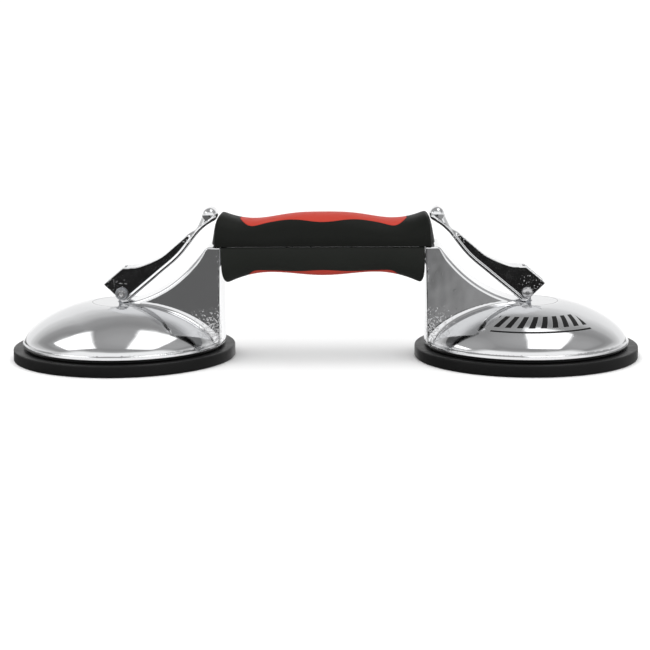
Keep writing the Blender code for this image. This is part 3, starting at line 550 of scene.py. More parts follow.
def mesh_from_bmesh(name, bm):
    """A smoothly shaded closed mesh whose faces look outwards."""
    bmesh.ops.recalc_face_normals(bm, faces=bm.faces)
    if bm.calc_volume(signed=True) < 0.0:
        bmesh.ops.reverse_faces(bm, faces=bm.faces)
    mesh = written(name, bm)
    shade(mesh)
    return mesh


def sheet_mesh(name, width, depth, segments):
    """A flat grid about the origin."""
    bm = bmesh.new()
    bmesh.ops.create_grid(bm, x_segments=segments, y_segments=segments, size=0.5)
    for vert in bm.verts:
        vert.co = (vert.co.x * width, vert.co.y * depth, 0.0)
    return written(name, bm)


def rounded(profile, radius, steps=4):
    """A profile whose inner corners are rounded; its first and last points stay."""
    points = [profile[0]]
    for before, corner, after in zip(profile, profile[1:], profile[2:]):
        room = min(math.dist(before, corner), math.dist(corner, after)) / 2
        tip = np.array(corner)
        a, b = (
            tip + (np.array(end) - tip) / math.dist(end, corner) * min(radius, room)
            for end in (before, after)
        )
        for step in range(steps + 1):
            t = step / steps
            points.append(tuple((1 - t) ** 2 * a + 2 * t * (1 - t) * tip + t**2 * b))
    return [*points, profile[-1]]


def turned(name, profile, steps=TURN_STEPS):
    """A closed mesh revolved about Z from (radius, z) points, off or on the axis."""
    bm = bmesh.new()
    rings = []
    for radius, z in profile:
        if radius == 0.0:
            rings.append([bm.verts.new((0.0, 0.0, z))])
            continue
        ring = []
        for step in range(steps):
            angle = math.tau * step / steps
            ring.append(bm.verts.new((radius * math.cos(angle), radius * math.sin(angle), z)))
        rings.append(ring)
    pairs = list(zip(rings, rings[1:]))
    if len(rings[0]) > 1:
        pairs.append((rings[-1], rings[0]))
    for upper, lower in pairs:
        for step in range(steps):
            beside = (step + 1) % steps
            corners = [upper[step % len(upper)], upper[beside % len(upper)]]
            corners += [lower[beside % len(lower)], lower[step % len(lower)]]
            bm.faces.new(list(dict.fromkeys(corners)))
    return mesh_from_bmesh(name, bm)


def placed_in_cup(obj, side):
    """Puts a piece made in the cup's frame on one cup, where its CAD pieces are."""
    direction = 1 if side == "right" else -1
    turn = math.pi if direction > 0 else 0.0
    obj.matrix_world = (
        Matrix.Translation((direction * CUP_X, 0.0, 0.0))
        @ Matrix.Rotation(turn, 4, "Z")
        @ obj.matrix_world
    )
    return obj


def stand_for(obj, node, body):
    """The piece stands for a CAD node and moves with its body."""
    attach(obj, body)
    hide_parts(node)
    return obj


# ------------------------ cup pieces
def rubber_pad_mesh():
    """The rubber disc: a raised land under the rim, a sunken seat, a flat sealing lip."""
    land = RIM_BOTTOM - GAP
    seat = RUBBER_TOP - 0.0010
    profile = [
        *((0.0, seat), (0.0285, seat), (0.0305, land), (0.0525, land)),
        *((0.0527, RUBBER_TOP), (RUBBER_RADIUS - 0.0001, RUBBER_TOP), (RUBBER_RADIUS, 0.0)),
        *((0.0460, 0.0), (0.0420, RUBBER_HOLLOW), (0.0, RUBBER_HOLLOW)),
    ]
    return turned("rubber_pad", rounded(profile, RUBBER_EDGE, 5))


def pivot_pin_mesh():
    """A pin with a domed head behind the lever and a peened end in front."""
    face = LEVER_HALF_WIDTH + GAP
    end = -LEVER_HALF_WIDTH - PIN_END_LENGTH
    profile = [
        (0.0, face + PIN_HEAD_HEIGHT),
        (0.45 * PIN_HEAD_RADIUS, face + 0.97 * PIN_HEAD_HEIGHT),
        (0.90 * PIN_HEAD_RADIUS, face + 0.62 * PIN_HEAD_HEIGHT),
        *((PIN_HEAD_RADIUS, face), (PIN_RADIUS, face), (PIN_RADIUS, end)),
        *((0.50 * PIN_RADIUS, end), (0.35 * PIN_RADIUS, end + 0.0005), (0.0, end + 0.0005)),
    ]
    mesh = turned("pivot_pin", rounded(profile, 0.0003, 3), SMALL_TURN_STEPS)
    return along_y(mesh)


def pin_retainer_mesh():
    """A dished push-on washer."""
    inner = PIN_RADIUS + GAP
    face = -LEVER_HALF_WIDTH - GAP
    out = face - RETAINER_THICKNESS
    middle = (inner + RETAINER_RADIUS) / 2
    profile = [
        *((inner, face), (RETAINER_RADIUS, face)),
        (RETAINER_RADIUS, face - 0.55 * RETAINER_THICKNESS),
        *((middle + 0.0003, out), (middle - 0.0002, out + 0.0002), (inner, out)),
    ]
    mesh = turned("pin_retainer", rounded(profile, 0.00015, 3), SMALL_TURN_STEPS)
    return along_y(mesh)


def along_y(mesh):
    """Turns a mesh made about Z so that it lies along Y, at the height of the pin."""
    turn = Matrix.Rotation(math.radians(-90.0), 4, "X")
    mesh.transform(Matrix.Translation((0.0, 0.0, PIN_HEIGHT)) @ turn)
    return mesh


def mesh_points(mesh):
    points = np.zeros(3 * len(mesh.vertices))
    mesh.vertices.foreach_get("co", points)
    return points.reshape(-1, 3)


def store_wear(mesh, wear):
    """Keeps how rough the casting's skin is at each point, for the metal's material."""
    attribute = mesh.attributes.new("cast_wear", "FLOAT", "POINT")
    attribute.data.foreach_set("value", np.clip(wear, 0.0, 1.0).astype(np.float32))


def housing_mesh():
    mesh = mesh_of_field(
        "housing",
        housing_field,
        (-RIM_RADIUS - 0.002, -RIM_RADIUS - 0.002, RIM_BOTTOM - 0.002),
        (RIM_RADIUS + 0.002, RIM_RADIUS + 0.002, ARM_TOP + 0.002),
        HOUSING_CELL,
    )
    x, y, z = mesh_points(mesh).T
    across = np.abs(y)
    near_wall = smooth_step(x, 0.034, 0.049)
    arm_face = smooth_step(across, 0.010, 0.015) * smooth_step(-across, -0.0205, -0.0187)
    foot = near_wall * smooth_step(-z, -0.0330, -0.0150) * arm_face
    edge = smooth_step(x, 0.0515, 0.0530) * smooth_step(across, 0.0155, 0.0172)
    rim = smooth_step(-z, -0.0125, -0.0095) * smooth_step(x, 0.026, 0.048)
    store_wear(mesh, 0.95 * foot + 0.12 * edge + 0.30 * rim)
    return mesh


def lever_mesh():
    mesh = mesh_of_field(
        "lever",
        lever_field,
        (-0.0120, -LEVER_HALF_WIDTH - 0.001, -0.0060),
        (0.0550, LEVER_HALF_WIDTH + 0.001, 0.0480),
        LEVER_CELL,
    )
    x, _, z = mesh_points(mesh).T
    hub = smooth_step(-np.hypot(x + 0.003, z - 0.004), -0.0110, -0.0040)
    neck = smooth_step(-np.hypot(x - 0.0366, z - 0.0300), -0.0050, -0.0020)
    store_wear(mesh, 0.10 * hub + 0.30 * neck)
    mesh.transform(Matrix.Translation((0.0, 0.0, PIN_HEIGHT)))
    return mesh


def stem_mesh():
    low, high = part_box("left_pull_stem")
    reach = STEM_EYE_RADIUS + 0.001
    return mesh_of_field(
        "pull_stem",
        stem_field,
        (-reach, -reach, low.z - 0.001),
        (reach, reach, high.z + 0.001),
        STEM_CELL,
    )


def return_spring_mesh():
    """The coil of round wire about the stem."""
    low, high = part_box("left_return_spring")
    start = low.z + SPRING_WIRE_RADIUS
    rise = high.z - SPRING_WIRE_RADIUS - start
    steps = int(SPRING_TURNS * SPRING_TURN_STEPS)
    bm = bmesh.new()
    rings = []
    for step in range(steps + 1):
        share = step / steps
        angle = math.tau * SPRING_TURNS * share
        out = Vector((math.cos(angle), math.sin(angle), 0.0))
        up = Vector((0.0, 0.0, 1.0))
        middle = out * SPRING_RADIUS + up * (start + rise * share)
        ring = []
        for side in range(SPRING_WIRE_SIDES):
            turn = math.tau * side / SPRING_WIRE_SIDES
            around = out * math.cos(turn) + up * math.sin(turn)
            ring.append(bm.verts.new(middle + around * SPRING_WIRE_RADIUS))
        rings.append(ring)
    for near, far in zip(rings, rings[1:]):
        for side in range(SPRING_WIRE_SIDES):
            after = (side + 1) % SPRING_WIRE_SIDES
            bm.faces.new((near[side], near[after], far[after], far[side]))
    bm.faces.new(rings[0])
    bm.faces.new(rings[-1])
    return mesh_from_bmesh("return_spring", bm)


def add_springs(materials):
    """Each spring is a coil of wire on its cup, fixed to the root, with its own copy of the mesh.
    """
    mesh = return_spring_mesh()
    mesh.materials.append(materials["spring_steel"])
    for side, x in (("left", -CUP_X), ("right", CUP_X)):
        obj = placed_in_cup(new_object(f"{side}_return_spring_fine", mesh), side)
        stand_for(obj, f"{side}_return_spring", "root")
        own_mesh(obj)


def add_cups(materials):
    """The visible pieces of both cups, from shared meshes."""
    made = (
        ("rubber_pad", rubber_pad_mesh(), "root", "rubber"),
        ("housing", housing_mesh(), "root", "chrome"),
        ("lever", lever_mesh(), "lever_body", "chrome"),
        ("pivot_pin", pivot_pin_mesh(), "lift", "steel"),
        ("pin_retainer", pin_retainer_mesh(), "lift", "steel"),
        ("pull_stem", stem_mesh(), "lift", "steel"),
    )
    finishes = {
        "housing": "cup_chrome",
        "pin_retainer": "spring_steel",
        "pull_stem": "spring_steel",
    }
    for label, mesh, body, slot in made:
        mesh.materials.append(materials[finishes.get(label, slot)])
        for side in ("left", "right"):
            obj = placed_in_cup(new_object(f"{side}_{label}_fine", mesh), side)
            if (side, label) == ("right", "housing"):
                obj.material_slots[0].link = "OBJECT"
                obj.material_slots[0].material = materials["marked_chrome"]
            rides_on = body if body == "root" else f"{side}_{body}"
            stand_for(obj, f"{side}_{label}", rides_on)


# ------------------------ grip
def upper_height(x):
    """Height of the upper shell's crest above the shells' joint."""
    x = abs(x)
    if x < UPPER_WAIST_X:
        share = math.sin(math.pi / 2 * (x / UPPER_WAIST_X) ** 1.5) ** 2
        return UPPER_HEIGHT - UPPER_WAIST_DROP * share
    rise = ((x - UPPER_WAIST_X) / (UPPER_RISE_X - UPPER_WAIST_X)) ** 2
    return UPPER_HEIGHT - UPPER_WAIST_DROP + UPPER_WAIST_DROP * min(rise, 1.4)


def lower_depth(x):
    """Depth of the lower shell's crest below the shells' joint."""
    x = abs(x)
    if x < LOWER_WAIST_X:
        share = math.sin(math.pi / 2 * x / LOWER_WAIST_X) ** 2
        return LOWER_DEPTH - LOWER_WAIST_RISE * share
    drop = ((x - LOWER_WAIST_X) / (LOWER_DROP_X - LOWER_WAIST_X)) ** 2
    return LOWER_DEPTH - LOWER_WAIST_RISE + LOWER_END_DROP * drop


def upper_end(height):
    """Where the upper shell's leaning, rounded end face lies at a height."""
    rounding = UPPER_END_ROUND * (height / UPPER_HEIGHT) ** END_ROUND_POWER
    return UPPER_HALF_LENGTH - UPPER_END_LEAN * height - rounding


def lower_end(depth):
    return LOWER_HALF_LENGTH - LOWER_END_ROUND * (depth / LOWER_TALLEST) ** END_ROUND_POWER


SHELLS = {
    1: (upper_height, upper_end, UPPER_TALLEST, GRIP_HALF_WIDTH, UPPER_INSERT_HALF_LENGTH),
    -1: (lower_depth, lower_end, LOWER_TALLEST, LOWER_HALF_WIDTH, LOWER_INSERT_HALF_LENGTH),
}


def section_height(y, half_width, height):
    """Height of a superellipse section at a distance from its middle."""
    share = min(abs(y) / half_width, 1.0) ** GRIP_EXPONENT
    return height * (1.0 - share) ** (1.0 / GRIP_EXPONENT)


def soft_minimum(a, b, sharpness=CORNER_SHARPNESS):
    if a <= 0.0 or b <= 0.0:
        return 0.0
    return (a**-sharpness + b**-sharpness) ** (-1.0 / sharpness)


def grip_stations(end_at, tallest, inset, columns):
    """(x, end height) stations along the grip: even steps, then down the end face."""
    straight = end_at(tallest) - inset
    middle = [(x, 1.0) for x in np.linspace(0.0, straight, columns // 2)[:-1]]
    heights = np.linspace(tallest, END_FOOT_HEIGHT + inset, columns // 3)
    ends = [(end_at(height) - inset, height - inset) for height in heights]
    right = middle + ends
    return [(-x, end) for x, end in reversed(right[1:])] + right


def bulged_x(x, y):
    """Draws the end's sides in, so that the end is rounded seen from above."""
    share = (abs(x) - BULGE_START_X) / (UPPER_HALF_LENGTH - BULGE_START_X)
    share = min(max(share, 0.0), 1.0) ** 2
    drawn_in = UPPER_END_BULGE * share * abs(y / GRIP_HALF_WIDTH) ** 3
    return x - math.copysign(drawn_in, x)


def grip_solid(name, direction, inset, columns, rows):
    """A closed half of the grip, above (+1) or below (-1) the shells' joint."""
    height_at, end_at, tallest, width, _ = SHELLS[direction]
    half_width = width - inset
    joint = GRIP_BASE + direction * GAP
    skirt = 0.0050 if inset else 0.0
    bm = bmesh.new()
    sections = []
    for x, end in grip_stations(end_at, tallest, inset, columns):
        section = []
        for step in range(rows + 1):
            angle = math.pi * step / rows
            side = math.cos(angle)
            y = half_width * math.copysign(abs(side) ** (2 / GRIP_EXPONENT), side)
            full = section_height(y, half_width, height_at(x) - inset)
            z = joint + direction * soft_minimum(full, end)
            section.append(bm.verts.new((x, y, z)))
        foot = joint - direction * skirt
        section.append(bm.verts.new((x, -half_width, foot)))
        section.append(bm.verts.new((x, half_width, foot)))
        if direction > 0:
            for vert in section:
                vert.co.x = bulged_x(x, vert.co.y)
        sections.append(section)
    count = len(sections[0])
    for section, following in zip(sections, sections[1:]):
        for column in range(count):
            beside = (column + 1) % count
            corners = (section[column], section[beside], following[beside], following[column])
            bm.faces.new(corners)
    bm.faces.new(sections[0])
    bm.faces.new(sections[-1])
    bmesh.ops.remove_doubles(bm, verts=bm.verts, dist=0.00001)
    bmesh.ops.dissolve_degenerate(bm, dist=0.00001, edges=bm.edges)
    return new_object(name, mesh_from_bmesh(name, bm))


def insert_half_width(x, half_length):
    beyond = max(abs(x) - INSERT_NARROW_X, 0.0)
    phase = min(abs(x) / INSERT_NARROW_X, 1.0) + (beyond / INSERT_LOBE_SPAN) ** INSERT_LOBE_POWER
    wave = INSERT_HALF_WIDTH + INSERT_WAVE * math.cos(math.pi * phase)
    return wave * math.sqrt(max(1.0 - (abs(x) / half_length) ** 14, 0.0))


def insert_solid(name, direction, top, bottom, margin, edge=0.0, columns=96, rows=28):
    """A panel that follows the grip's skin between two depths, with a rolled edge."""
    height_at, _, _, width, length = SHELLS[direction]
    length += margin
    joint = GRIP_BASE + direction * GAP
    bm = bmesh.new()
    bmesh.ops.create_grid(bm, x_segments=columns, y_segments=rows, size=1.0)
    below = bmesh.ops.extrude_face_region(bm, geom=bm.faces[:])
    lower = {v for v in below["geom"] if isinstance(v, bmesh.types.BMVert)}
    for vert in bm.verts:
        x = length * 0.998 * math.sin(math.pi / 2 * vert.co.x)
        share = math.sin(math.pi / 2 * vert.co.y)
        half_width = insert_half_width(x, length) + margin
        y = share * half_width
        level = bottom
        if vert not in lower:
            border = min(half_width - abs(y), 0.5 * (length - abs(x)))
            level = top + edge * max(1.0 - border / (2.5 * edge + 1e-9), 0.0) ** 2
        z = section_height(y, width, height_at(x)) - level
        vert.co = (x, y, joint + direction * z)
    return new_object(name, mesh_from_bmesh(name, bm))


def block(name, low, high):
    bm = bmesh.new()
    bmesh.ops.create_cube(bm, size=1.0)
    for vert in bm.verts:
        vert.co = [a + (b - a) * (c + 0.5) for a, b, c in zip(low, high, vert.co)]
    return new_object(name, mesh_from_bmesh(name, bm))


def use_tool(obj, tool, operation):
    """Unites or cuts a closed mesh with another, which is then removed."""
    modifier = obj.modifiers.new(operation.lower(), "BOOLEAN")
    modifier.operation = operation
    modifier.solver = "MANIFOLD"
    modifier.object = tool
    bpy.context.view_layer.update()
    shape = obj.evaluated_get(bpy.context.evaluated_depsgraph_get())
    mesh = bpy.data.meshes.new_from_object(shape)
    obj.modifiers.clear()
    obj.data = mesh
    bpy.data.objects.remove(tool, do_unlink=True)


def screw_hole(name, x):
    """The stepped hole for a grip screw, open at the lower shell's skin."""
    skin = GRIP_BASE - lower_depth(x)
    shoulder = skin + GRIP_SCREW_SINK
    clear = GRIP_SCREW_HEAD_RADIUS + GAP
    profile = [
        *((0.0, BAR_END_BOTTOM + 0.004), (0.0019, BAR_END_BOTTOM + 0.004), (0.0019, shoulder)),
        *((clear, shoulder), (clear, skin - 0.004), (0.0, skin - 0.004)),
    ]
    hole = new_object(name, turned(name, profile, SMALL_TURN_STEPS))
    hole.location.x = x
    return hole


def grip_boss(name, direction, x):
    """A screw boss inside a shell, from the bar to the shell's wall."""
    if direction > 0:
        low, high = BAR_TOP + 2 * GAP, GRIP_BASE + upper_height(x) - 0.0015
    else:
        low, high = GRIP_BASE - lower_depth(x) + 0.0015, BAR_END_BOTTOM - 2 * GAP
    profile = [(0.0, high), (GRIP_BOSS_RADIUS, high), (GRIP_BOSS_RADIUS, low), (0.0, low)]
    boss = new_object(name, turned(name, profile, SMALL_TURN_STEPS))
    boss.location.x = x
    return boss


def add_grip_shell(name, direction, material):
    shell = grip_solid(name + "_fine", direction, 0.0, GRIP_COLUMNS, GRIP_ROWS)
    use_tool(shell, grip_solid("hollow", direction, GRIP_WALL, 30, 20), "DIFFERENCE")
    for end in (-1, 1):
        if direction < 0:
            near, far = sorted((end * (BAR_HALF_LENGTH - 0.004), end * (BAR_HALF_LENGTH + 0.001)))
            low = (near, -BAR_HALF_WIDTH - GAP, BAR_END_BOTTOM - GAP)
            high = (far, BAR_HALF_WIDTH + GAP, GRIP_BASE + GAP)
            use_tool(shell, block("bar_opening", low, high), "DIFFERENCE")
        use_tool(shell, grip_boss("boss", direction, end * GRIP_SCREW_X), "UNION")
        if direction < 0:
            use_tool(shell, screw_hole("screw_hole", end * GRIP_SCREW_X), "DIFFERENCE")
    pocket = insert_solid("pocket", direction, -0.0020, INSERT_POCKET, INSERT_SEAM)
    use_tool(shell, pocket, "DIFFERENCE")
    shade(shell.data)
    paint(shell.data, material)
    shell.visible_glossy = direction > 0
    return stand_for(shell, name, "root")


def add_insert(name, direction, material):
    insert = insert_solid(
        name + "_fine", direction, 0.0, INSERT_THICKNESS, 0.0, INSERT_EDGE, 140, 36
    )
    insert.visible_glossy = direction > 0
    insert.visible_diffuse = direction > 0
    insert.data.materials.append(material)
    return stand_for(insert, name, "root")


def add_grip_screw(name, end, material):
    """A countersunk-pocket screw whose head has a six-sided socket."""
    low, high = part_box(name)
    head_top = low.z + 0.0020
    profile = [
        *((0.0, high.z), (0.0012, high.z), (0.0016, high.z - 0.0008), (0.0016, head_top)),
        *((GRIP_SCREW_HEAD_RADIUS, head_top), (GRIP_SCREW_HEAD_RADIUS, low.z), (0.0, low.z)),
    ]
    screw = new_object(name + "_fine", turned(name, rounded(profile, 0.0003, 3), SMALL_TURN_STEPS))
    socket_profile = [(0.0, low.z + 0.0012), (0.0014, low.z + 0.0012)]
    socket_profile += [(0.0014, low.z - 0.001), (0.0, low.z - 0.001)]
    use_tool(screw, new_object("socket", turned("socket", socket_profile, 6)), "DIFFERENCE")
    shade(screw.data)
    paint(screw.data, material)
    screw.location.x = end * GRIP_SCREW_X
    return stand_for(screw, name, "root")


def add_grip(materials):
    add_grip_shell("upper_grip", 1, materials["black_grip"])
    add_grip_shell("lower_grip", -1, materials["lower_grip"])
    add_insert("upper_red_insert", 1, materials["red_insert"])
    add_insert("lower_red_insert", -1, materials["red_insert"])
    add_grip_screw("left_grip_screw", -1, materials["steel"])
    add_grip_screw("right_grip_screw", 1, materials["steel"])


# ------------------------ materials
class Tree:
    """A short way to build a node tree."""

    def __init__(self, owner):
        owner.use_nodes = True
        self.tree = owner.node_tree
        self.tree.nodes.clear()

    def add(self, kind, inputs=None, **settings):
        made = self.tree.nodes.new("ShaderNode" + kind)
        for key, value in settings.items():
            setattr(made, key, value)
        for key, value in (inputs or {}).items():
            if isinstance(value, bpy.types.NodeSocket):
                self.tree.links.new(value, made.inputs[key])
            else:
                made.inputs[key].default_value = value
        return made

    def math(self, operation, a, b=0.0, clamp=False):
        return self.add("Math", {0: a, 1: b}, operation=operation, use_clamp=clamp).outputs[0]

    def noise(self, where, scale, detail=3.0, roughness=0.5):
        inputs = {"Vector": where, "Scale": scale, "Detail": detail, "Roughness": roughness}
        return self.add("TexNoise", inputs).outputs["Fac"]

    def remap(self, value, start, end, low, high):
        inputs = {"Value": value, "From Min": start, "From Max": end}
        inputs.update({"To Min": low, "To Max": high})
        return self.add("MapRange", inputs).outputs[0]

    def bump(self, height, distance, strength=1.0, normal=None):
        inputs = {"Height": height, "Distance": distance, "Strength": strength}
        if normal is not None:
            inputs["Normal"] = normal
        return self.add("Bump", inputs).outputs[0]

    def mix_colour(self, share, a, b):
        made = self.add("Mix", data_type="RGBA")
        for socket, value in ((made.inputs[0], share), (made.inputs[6], a), (made.inputs[7], b)):
            if isinstance(value, bpy.types.NodeSocket):
                self.tree.links.new(value, socket)
            else:
                socket.default_value = value
        return made.outputs[2]


def surface(name, build):
    """A material whose Principled shader's inputs come from a builder."""
    material = bpy.data.materials.new(name)
    tree = Tree(material)
    where = tree.add("TexCoord").outputs["Object"]
    shader = tree.add("BsdfPrincipled", build(tree, where))
    tree.add("OutputMaterial", {"Surface": shader.outputs[0]})
    return material


def chrome_with(pad=False, mark=None):
    """Bright plating over a casting: faint ripple, fine haze, and pits where it is worn."""

    def build(tree, where):
        wear = tree.add("Attribute", attribute_name="cast_wear").outputs["Fac"]
        ripple = tree.noise(where, 55.0, 2.0)
        haze = tree.noise(where, 160.0, 4.0, 0.6)
        grit = tree.noise(where, 900.0, 3.0, 0.6)
        grit = tree.math("ADD", grit, tree.math("MULTIPLY", wear, 0.14))
        pits = tree.remap(grit, 0.64, 0.74, 0.0, 1.0)
        pits = tree.math("MULTIPLY", pits, tree.remap(wear, 0.02, 0.20, 0.0, 1.0))
        specks = tree.remap(tree.noise(where, 420.0, 2.0), 0.70, 0.74, 0.0, 1.0)
        roughness = tree.remap(haze, 0.35, 0.70, 0.07, 0.13)
        roughness = tree.math("ADD", roughness, tree.math("MULTIPLY", pits, 0.25))
        relief = tree.bump(ripple, 0.00016)
        relief = tree.bump(specks, 0.00002, 0.4, relief)
        relief = tree.bump(pits, 0.00010, 1.0, relief)
        colour = tree.mix_colour(pits, (0.76, 0.765, 0.775, 1.0), (0.70, 0.70, 0.71, 1.0))
        metal = 1.0
        if pad:
            # painted shade: the groove round the cam's flat gets a dark grey base colour, besides
            # its bump
            groove_shade = pad_edge_shade(tree, where)
            relief = tree.bump(groove_shade, -0.00012, 1.0, relief)
            colour = tree.mix_colour(groove_shade, colour, (0.22, 0.22, 0.23, 1.0))
        if mark:
            ink = mark(tree, where)
            colour = tree.mix_colour(ink, colour, (0.004, 0.004, 0.004, 1.0))
            roughness = tree.math("MAXIMUM", roughness, tree.math("MULTIPLY", ink, 0.35))
            metal = tree.math("SUBTRACT", 1.0, ink)
        return {
            "Base Color": colour,
            "Metallic": metal,
            "Roughness": roughness,
            "Specular IOR Level": 0.15,
            "Normal": relief,
        }

    return build


def around_cup(tree, where):
    """Distance from the cup's axis, and the angle about it from the cup frame's +Y."""
    axes = tree.add("SeparateXYZ", {"Vector": where}).outputs
    flat = tree.add("CombineXYZ", {0: axes[0], 1: axes[1]}).outputs[0]
    reach = tree.add("VectorMath", {0: flat}, operation="LENGTH").outputs["Value"]
    return reach, tree.math("ARCTAN2", axes[0], axes[1]), axes[2]


def band(tree, value, low, high, soft):
    """One between two values, zero beyond them."""
    rise = tree.remap(value, low - soft, low + soft, 0.0, 1.0)
    fall = tree.remap(value, high - soft, high + soft, 1.0, 0.0)
    return tree.math("MULTIPLY", rise, fall)


def pad_edge_shade(tree, where):
    """A fine groove round the cam's flat on top of the dome: the mask for its bump and for its
    painted shade.
    """
    reach, _, height = around_cup(tree, where)
    groove_shade = band(tree, reach, 0.0166, 0.0170, 0.0002)
    return tree.math("MULTIPLY", groove_shade, band(tree, height, 0.0291, 0.0300, 0.0002))


def printed_mark(tree, where):
    """Plain slanted bars over a thin line, printed on the dome's front."""
    reach, angle, height = around_cup(tree, where)
    along = tree.math("MULTIPLY", angle, MARK_REACH)
    slanted = tree.math("ADD", along, tree.math("MULTIPLY", reach, -0.35))
    step = tree.math("FRACT", tree.math("DIVIDE", slanted, MARK_PITCH))
    bars = band(tree, step, 0.18, 0.74, 0.03)
    bars = tree.math("MULTIPLY", bars, band(tree, reach, *MARK_BARS, 0.00015))
    line = band(tree, reach, *MARK_LINE, 0.00015)
    ink = tree.math("MAXIMUM", bars, line)
    ink = tree.math("MULTIPLY", ink, band(tree, along, *MARK_SPAN, 0.0002))
    return tree.math("MULTIPLY", ink, tree.remap(height, 0.0140, 0.0141, 0.0, 1.0))


def brushed_metal(colour, roughness, grain):
    """Plain machined metal with a fine grain."""

    def build(tree, where):
        streaks = tree.add("Mapping", {"Vector": where, "Scale": (1.0, 1.0, 9.0)}).outputs[0]
        lines = tree.noise(streaks, grain, 3.0, 0.6)
        tone = tree.noise(where, 120.0, 3.0)
        darker = tuple(0.78 * c for c in colour)
        return {
            "Base Color": tree.mix_colour(tone, (*darker, 1.0), (*colour, 1.0)),
            "Metallic": 1.0,
            "Roughness": tree.remap(lines, 0.3, 0.7, 0.7 * roughness, 1.3 * roughness),
            "Normal": tree.bump(lines, 0.00003),
        }

    return build


def soft_plastic(dark, light, roughness, shine, grain, depth):
    """Moulded plastic or rubber with a fine matt grain and faint colour drift."""

    def build(tree, where):
        fine = tree.noise(where, grain, 2.0, 0.6)
        drift = tree.noise(where, 60.0, 3.0)
        scuffs = tree.remap(tree.noise(where, 260.0, 4.0, 0.7), 0.40, 0.75, -0.05, 0.07)
        return {
            "Specular IOR Level": shine,
            "Base Color": tree.mix_colour(drift, (*dark, 1.0), (*light, 1.0)),
            "Roughness": tree.math("ADD", scuffs, roughness),
            "Normal": tree.bump(fine, depth),
        }

    return build


def make_materials():
    builders = {
        "chrome": chrome_with(),
        "cup_chrome": chrome_with(pad=True),
        "marked_chrome": chrome_with(pad=True, mark=printed_mark),
        "steel": brushed_metal((0.62, 0.62, 0.63), 0.24, 500.0),
        "spring_steel": brushed_metal((0.40, 0.41, 0.43), 0.32, 700.0),
        "aluminium": brushed_metal((0.66, 0.67, 0.68), 0.36, 350.0),
        "rubber": soft_plastic(
            (0.0030, 0.0030, 0.0030), (0.0045, 0.0045, 0.0045), 0.42, 0.26, 2200.0, 3e-5
        ),
        "black_grip": soft_plastic(
            (0.0050, 0.0058, 0.0048), (0.0070, 0.0080, 0.0066), 0.50, 0.12, 1800.0, 4e-5
        ),
        "lower_grip": soft_plastic(
            (0.0130, 0.0145, 0.0125), (0.0160, 0.0180, 0.0155), 0.50, 0.16, 1800.0, 4e-5
        ),
        "red_insert": soft_plastic(
            (0.43, 0.040, 0.024), (0.48, 0.050, 0.034), 0.50, 0.10, 1500.0, 3e-5
        ),
    }
    return {name: surface(name, build) for name, build in builders.items()}


def dress_cad_nodes(materials):
    """The CAD nodes that stay shown get the same materials as the finer pieces."""
    finishes = {
        "pull_plate": "steel",
        "stem_nut": "steel",
        "bar_screw_a": "steel",
        "bar_screw_b": "steel",
        "handle_bar": "aluminium",
    }
    for name, node in frame["nodes"].items():
        if node.hide_render:
            continue
        finish = finishes[name.replace("left_", "").replace("right_", "")]
        paint(node.data, materials[finish])


# ------------------------ studio
def add_overhead_light():
    """A soft light that points down and that the metal doesn't mirror."""
    light = bpy.data.lights.new("overhead", "SUN")
    light.energy = 2.2
    light.angle = math.radians(70.0)
    lamp = new_object("overhead", light)
    lamp.location.z = 2.0
    lamp.visible_glossy = False


def add_card(name, centre, width, depth, brightness):
    """A lit card over the object with soft edges, seen only in the metal."""
    material = bpy.data.materials.new(name)
    tree = Tree(material)
    axes = tree.add("SeparateXYZ", {"Vector": tree.add("TexCoord").outputs["Generated"]})
    share = 1.0
    for axis in (0, 1):
        edge = tree.math("ABSOLUTE", tree.math("SUBTRACT", axes.outputs[axis], 0.5))
        ramp = {"Value": edge, 1: 0.38, 2: 0.50, 3: 1.0, 4: 0.0}
        fade = tree.add("MapRange", ramp, interpolation_type="SMOOTHSTEP").outputs[0]
        share = tree.math("MULTIPLY", fade, share)
    glow = tree.add("Emission", {"Strength": tree.math("MULTIPLY", share, brightness)})
    clear = tree.add("BsdfTransparent")
    mixed = tree.add("MixShader", {0: share, 1: clear.outputs[0], 2: glow.outputs[0]})
    tree.add("OutputMaterial", {"Surface": mixed.outputs[0]})
    card = new_object(name, sheet_mesh(name, width, depth, 8))
    paint(card.data, material)
    card.location = centre
    card.visible_camera = False
    card.visible_diffuse = False
    card.visible_shadow = False


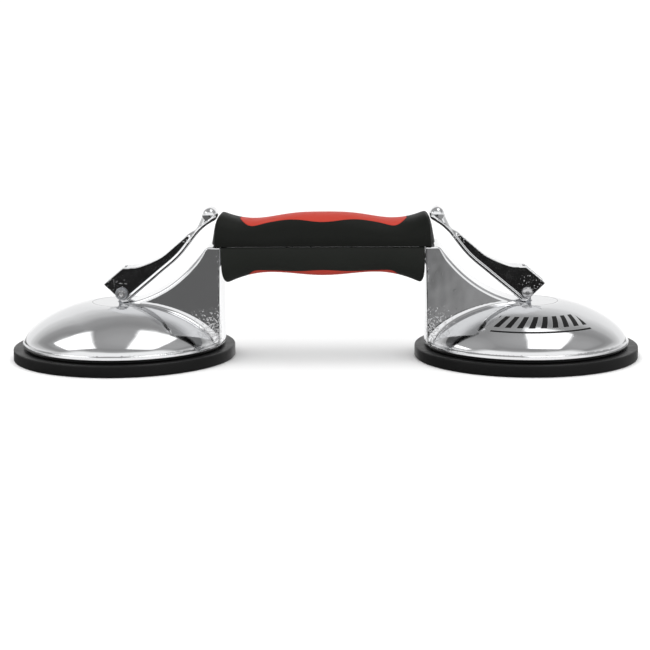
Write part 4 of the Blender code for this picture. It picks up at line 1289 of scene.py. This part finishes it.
def add_world():
    """A pale studio, as the metal mirrors it: white low walls that darken upwards, sooner
    at the sides and later in front, over a grey floor with a dark gap in front.  Behind
    the object the floor it mirrors is bright."""
    world = bpy.data.worlds.new("studio")
    bpy.context.scene.world = world
    tree = Tree(world)
    axes = tree.add("SeparateXYZ", {"Vector": tree.add("TexCoord").outputs["Generated"]})
    sideways, forward, height = (axes.outputs[axis] for axis in range(3))
    side = tree.remap(tree.math("ABSOLUTE", sideways), 0.38, 0.78, 0.0, 0.36)
    ramp = tree.add("ValToRGB", {"Fac": tree.math("ADD", height, side)})
    stops = ((0.0, 1.1), (0.20, 0.98), (0.45, 0.94), (0.56, 0.77), (0.68, 0.60), (0.79, 0.37))
    stops += ((0.88, 0.31), (0.95, 0.38), (1.0, 0.43))
    bands = ramp.color_ramp
    bands.interpolation = "EASE"
    while len(bands.elements) < len(stops):
        bands.elements.new(0.5)
    for element, (at, value) in zip(bands.elements, stops):
        element.position = at
        element.color = (value, value, value, 1.0)
    front = tree.math(
        "MULTIPLY",
        tree.remap(forward, -0.45, -0.25, 1.0, 0.0),
        tree.remap(height, 0.66, 0.78, 1.0, 0.0),
    )
    above = tree.mix_colour(front, ramp.outputs["Color"], (1.1, 1.1, 1.1, 1.0))
    behind = tree.remap(forward, 0.86, 0.93, 0.0, 0.9)
    behind = tree.math("ADD", behind, tree.remap(sideways, 0.12, 0.32, 0.14, 0.34))
    gap = tree.remap(forward, -0.965, -0.935, 0.10, 1.0)
    below = tree.math("MULTIPLY", behind, gap)
    below = tree.add("CombineColor", {0: below, 1: below, 2: below}).outputs[0]
    level = tree.remap(height, -0.02, 0.02, 0.0, 1.0)
    colour = tree.mix_colour(level, below, above)
    glow = tree.add("Background", {"Color": colour, "Strength": 1.0})
    tree.add("OutputWorld", {"Surface": glow.outputs[0]})


def add_floor():
    """A plain pale sheet, which the metal doesn't mirror."""

    def build(tree, where):
        tone = tree.remap(tree.noise(where, 30.0), 0.0, 1.0, 0.93, 0.95)
        return {
            "Base Color": tree.add("CombineColor", {0: tone, 1: tone, 2: tone}).outputs[0],
            "Roughness": 0.7,
            "Specular IOR Level": 0.2,
        }

    floor = new_object("floor", sheet_mesh("floor", FLOOR_WIDTH, FLOOR_WIDTH, 1))
    paint(floor.data, surface("floor", build))
    floor.location.z = CAD_BOX[0].z - 0.0001
    floor.visible_glossy = False


def add_camera():
    """The photograph's view: a long lens, slightly to the right and looking down."""
    camera = new_object("camera", bpy.data.cameras.new("camera"))
    camera.data.sensor_width = 36.0
    camera.data.lens = CAMERA_LENS
    camera.matrix_world = (
        Matrix.Rotation(CAMERA_YAW, 4, "Z")
        @ Matrix.Translation(CAMERA_PLACE)
        @ Matrix.Rotation(math.pi / 2 - CAMERA_PITCH, 4, "X")
        @ Matrix.Rotation(CAMERA_ROLL, 4, "Z")
    )
    bpy.context.scene.camera = camera


def add_studio():
    bpy.context.scene.view_settings.view_transform = "Standard"
    add_world()
    add_floor()
    add_card("left_card", (-0.270, -0.043, 0.20), 0.195, 0.176, CARD_BRIGHTNESS)
    add_card("right_card", (0.930, -0.150, 3.00), 1.83, 2.98, CARD_BRIGHTNESS)
    add_overhead_light()
    add_camera()


def main():
    materials = make_materials()
    add_cups(materials)
    add_springs(materials)
    add_grip(materials)
    dress_cad_nodes(materials)
    add_studio()


main()
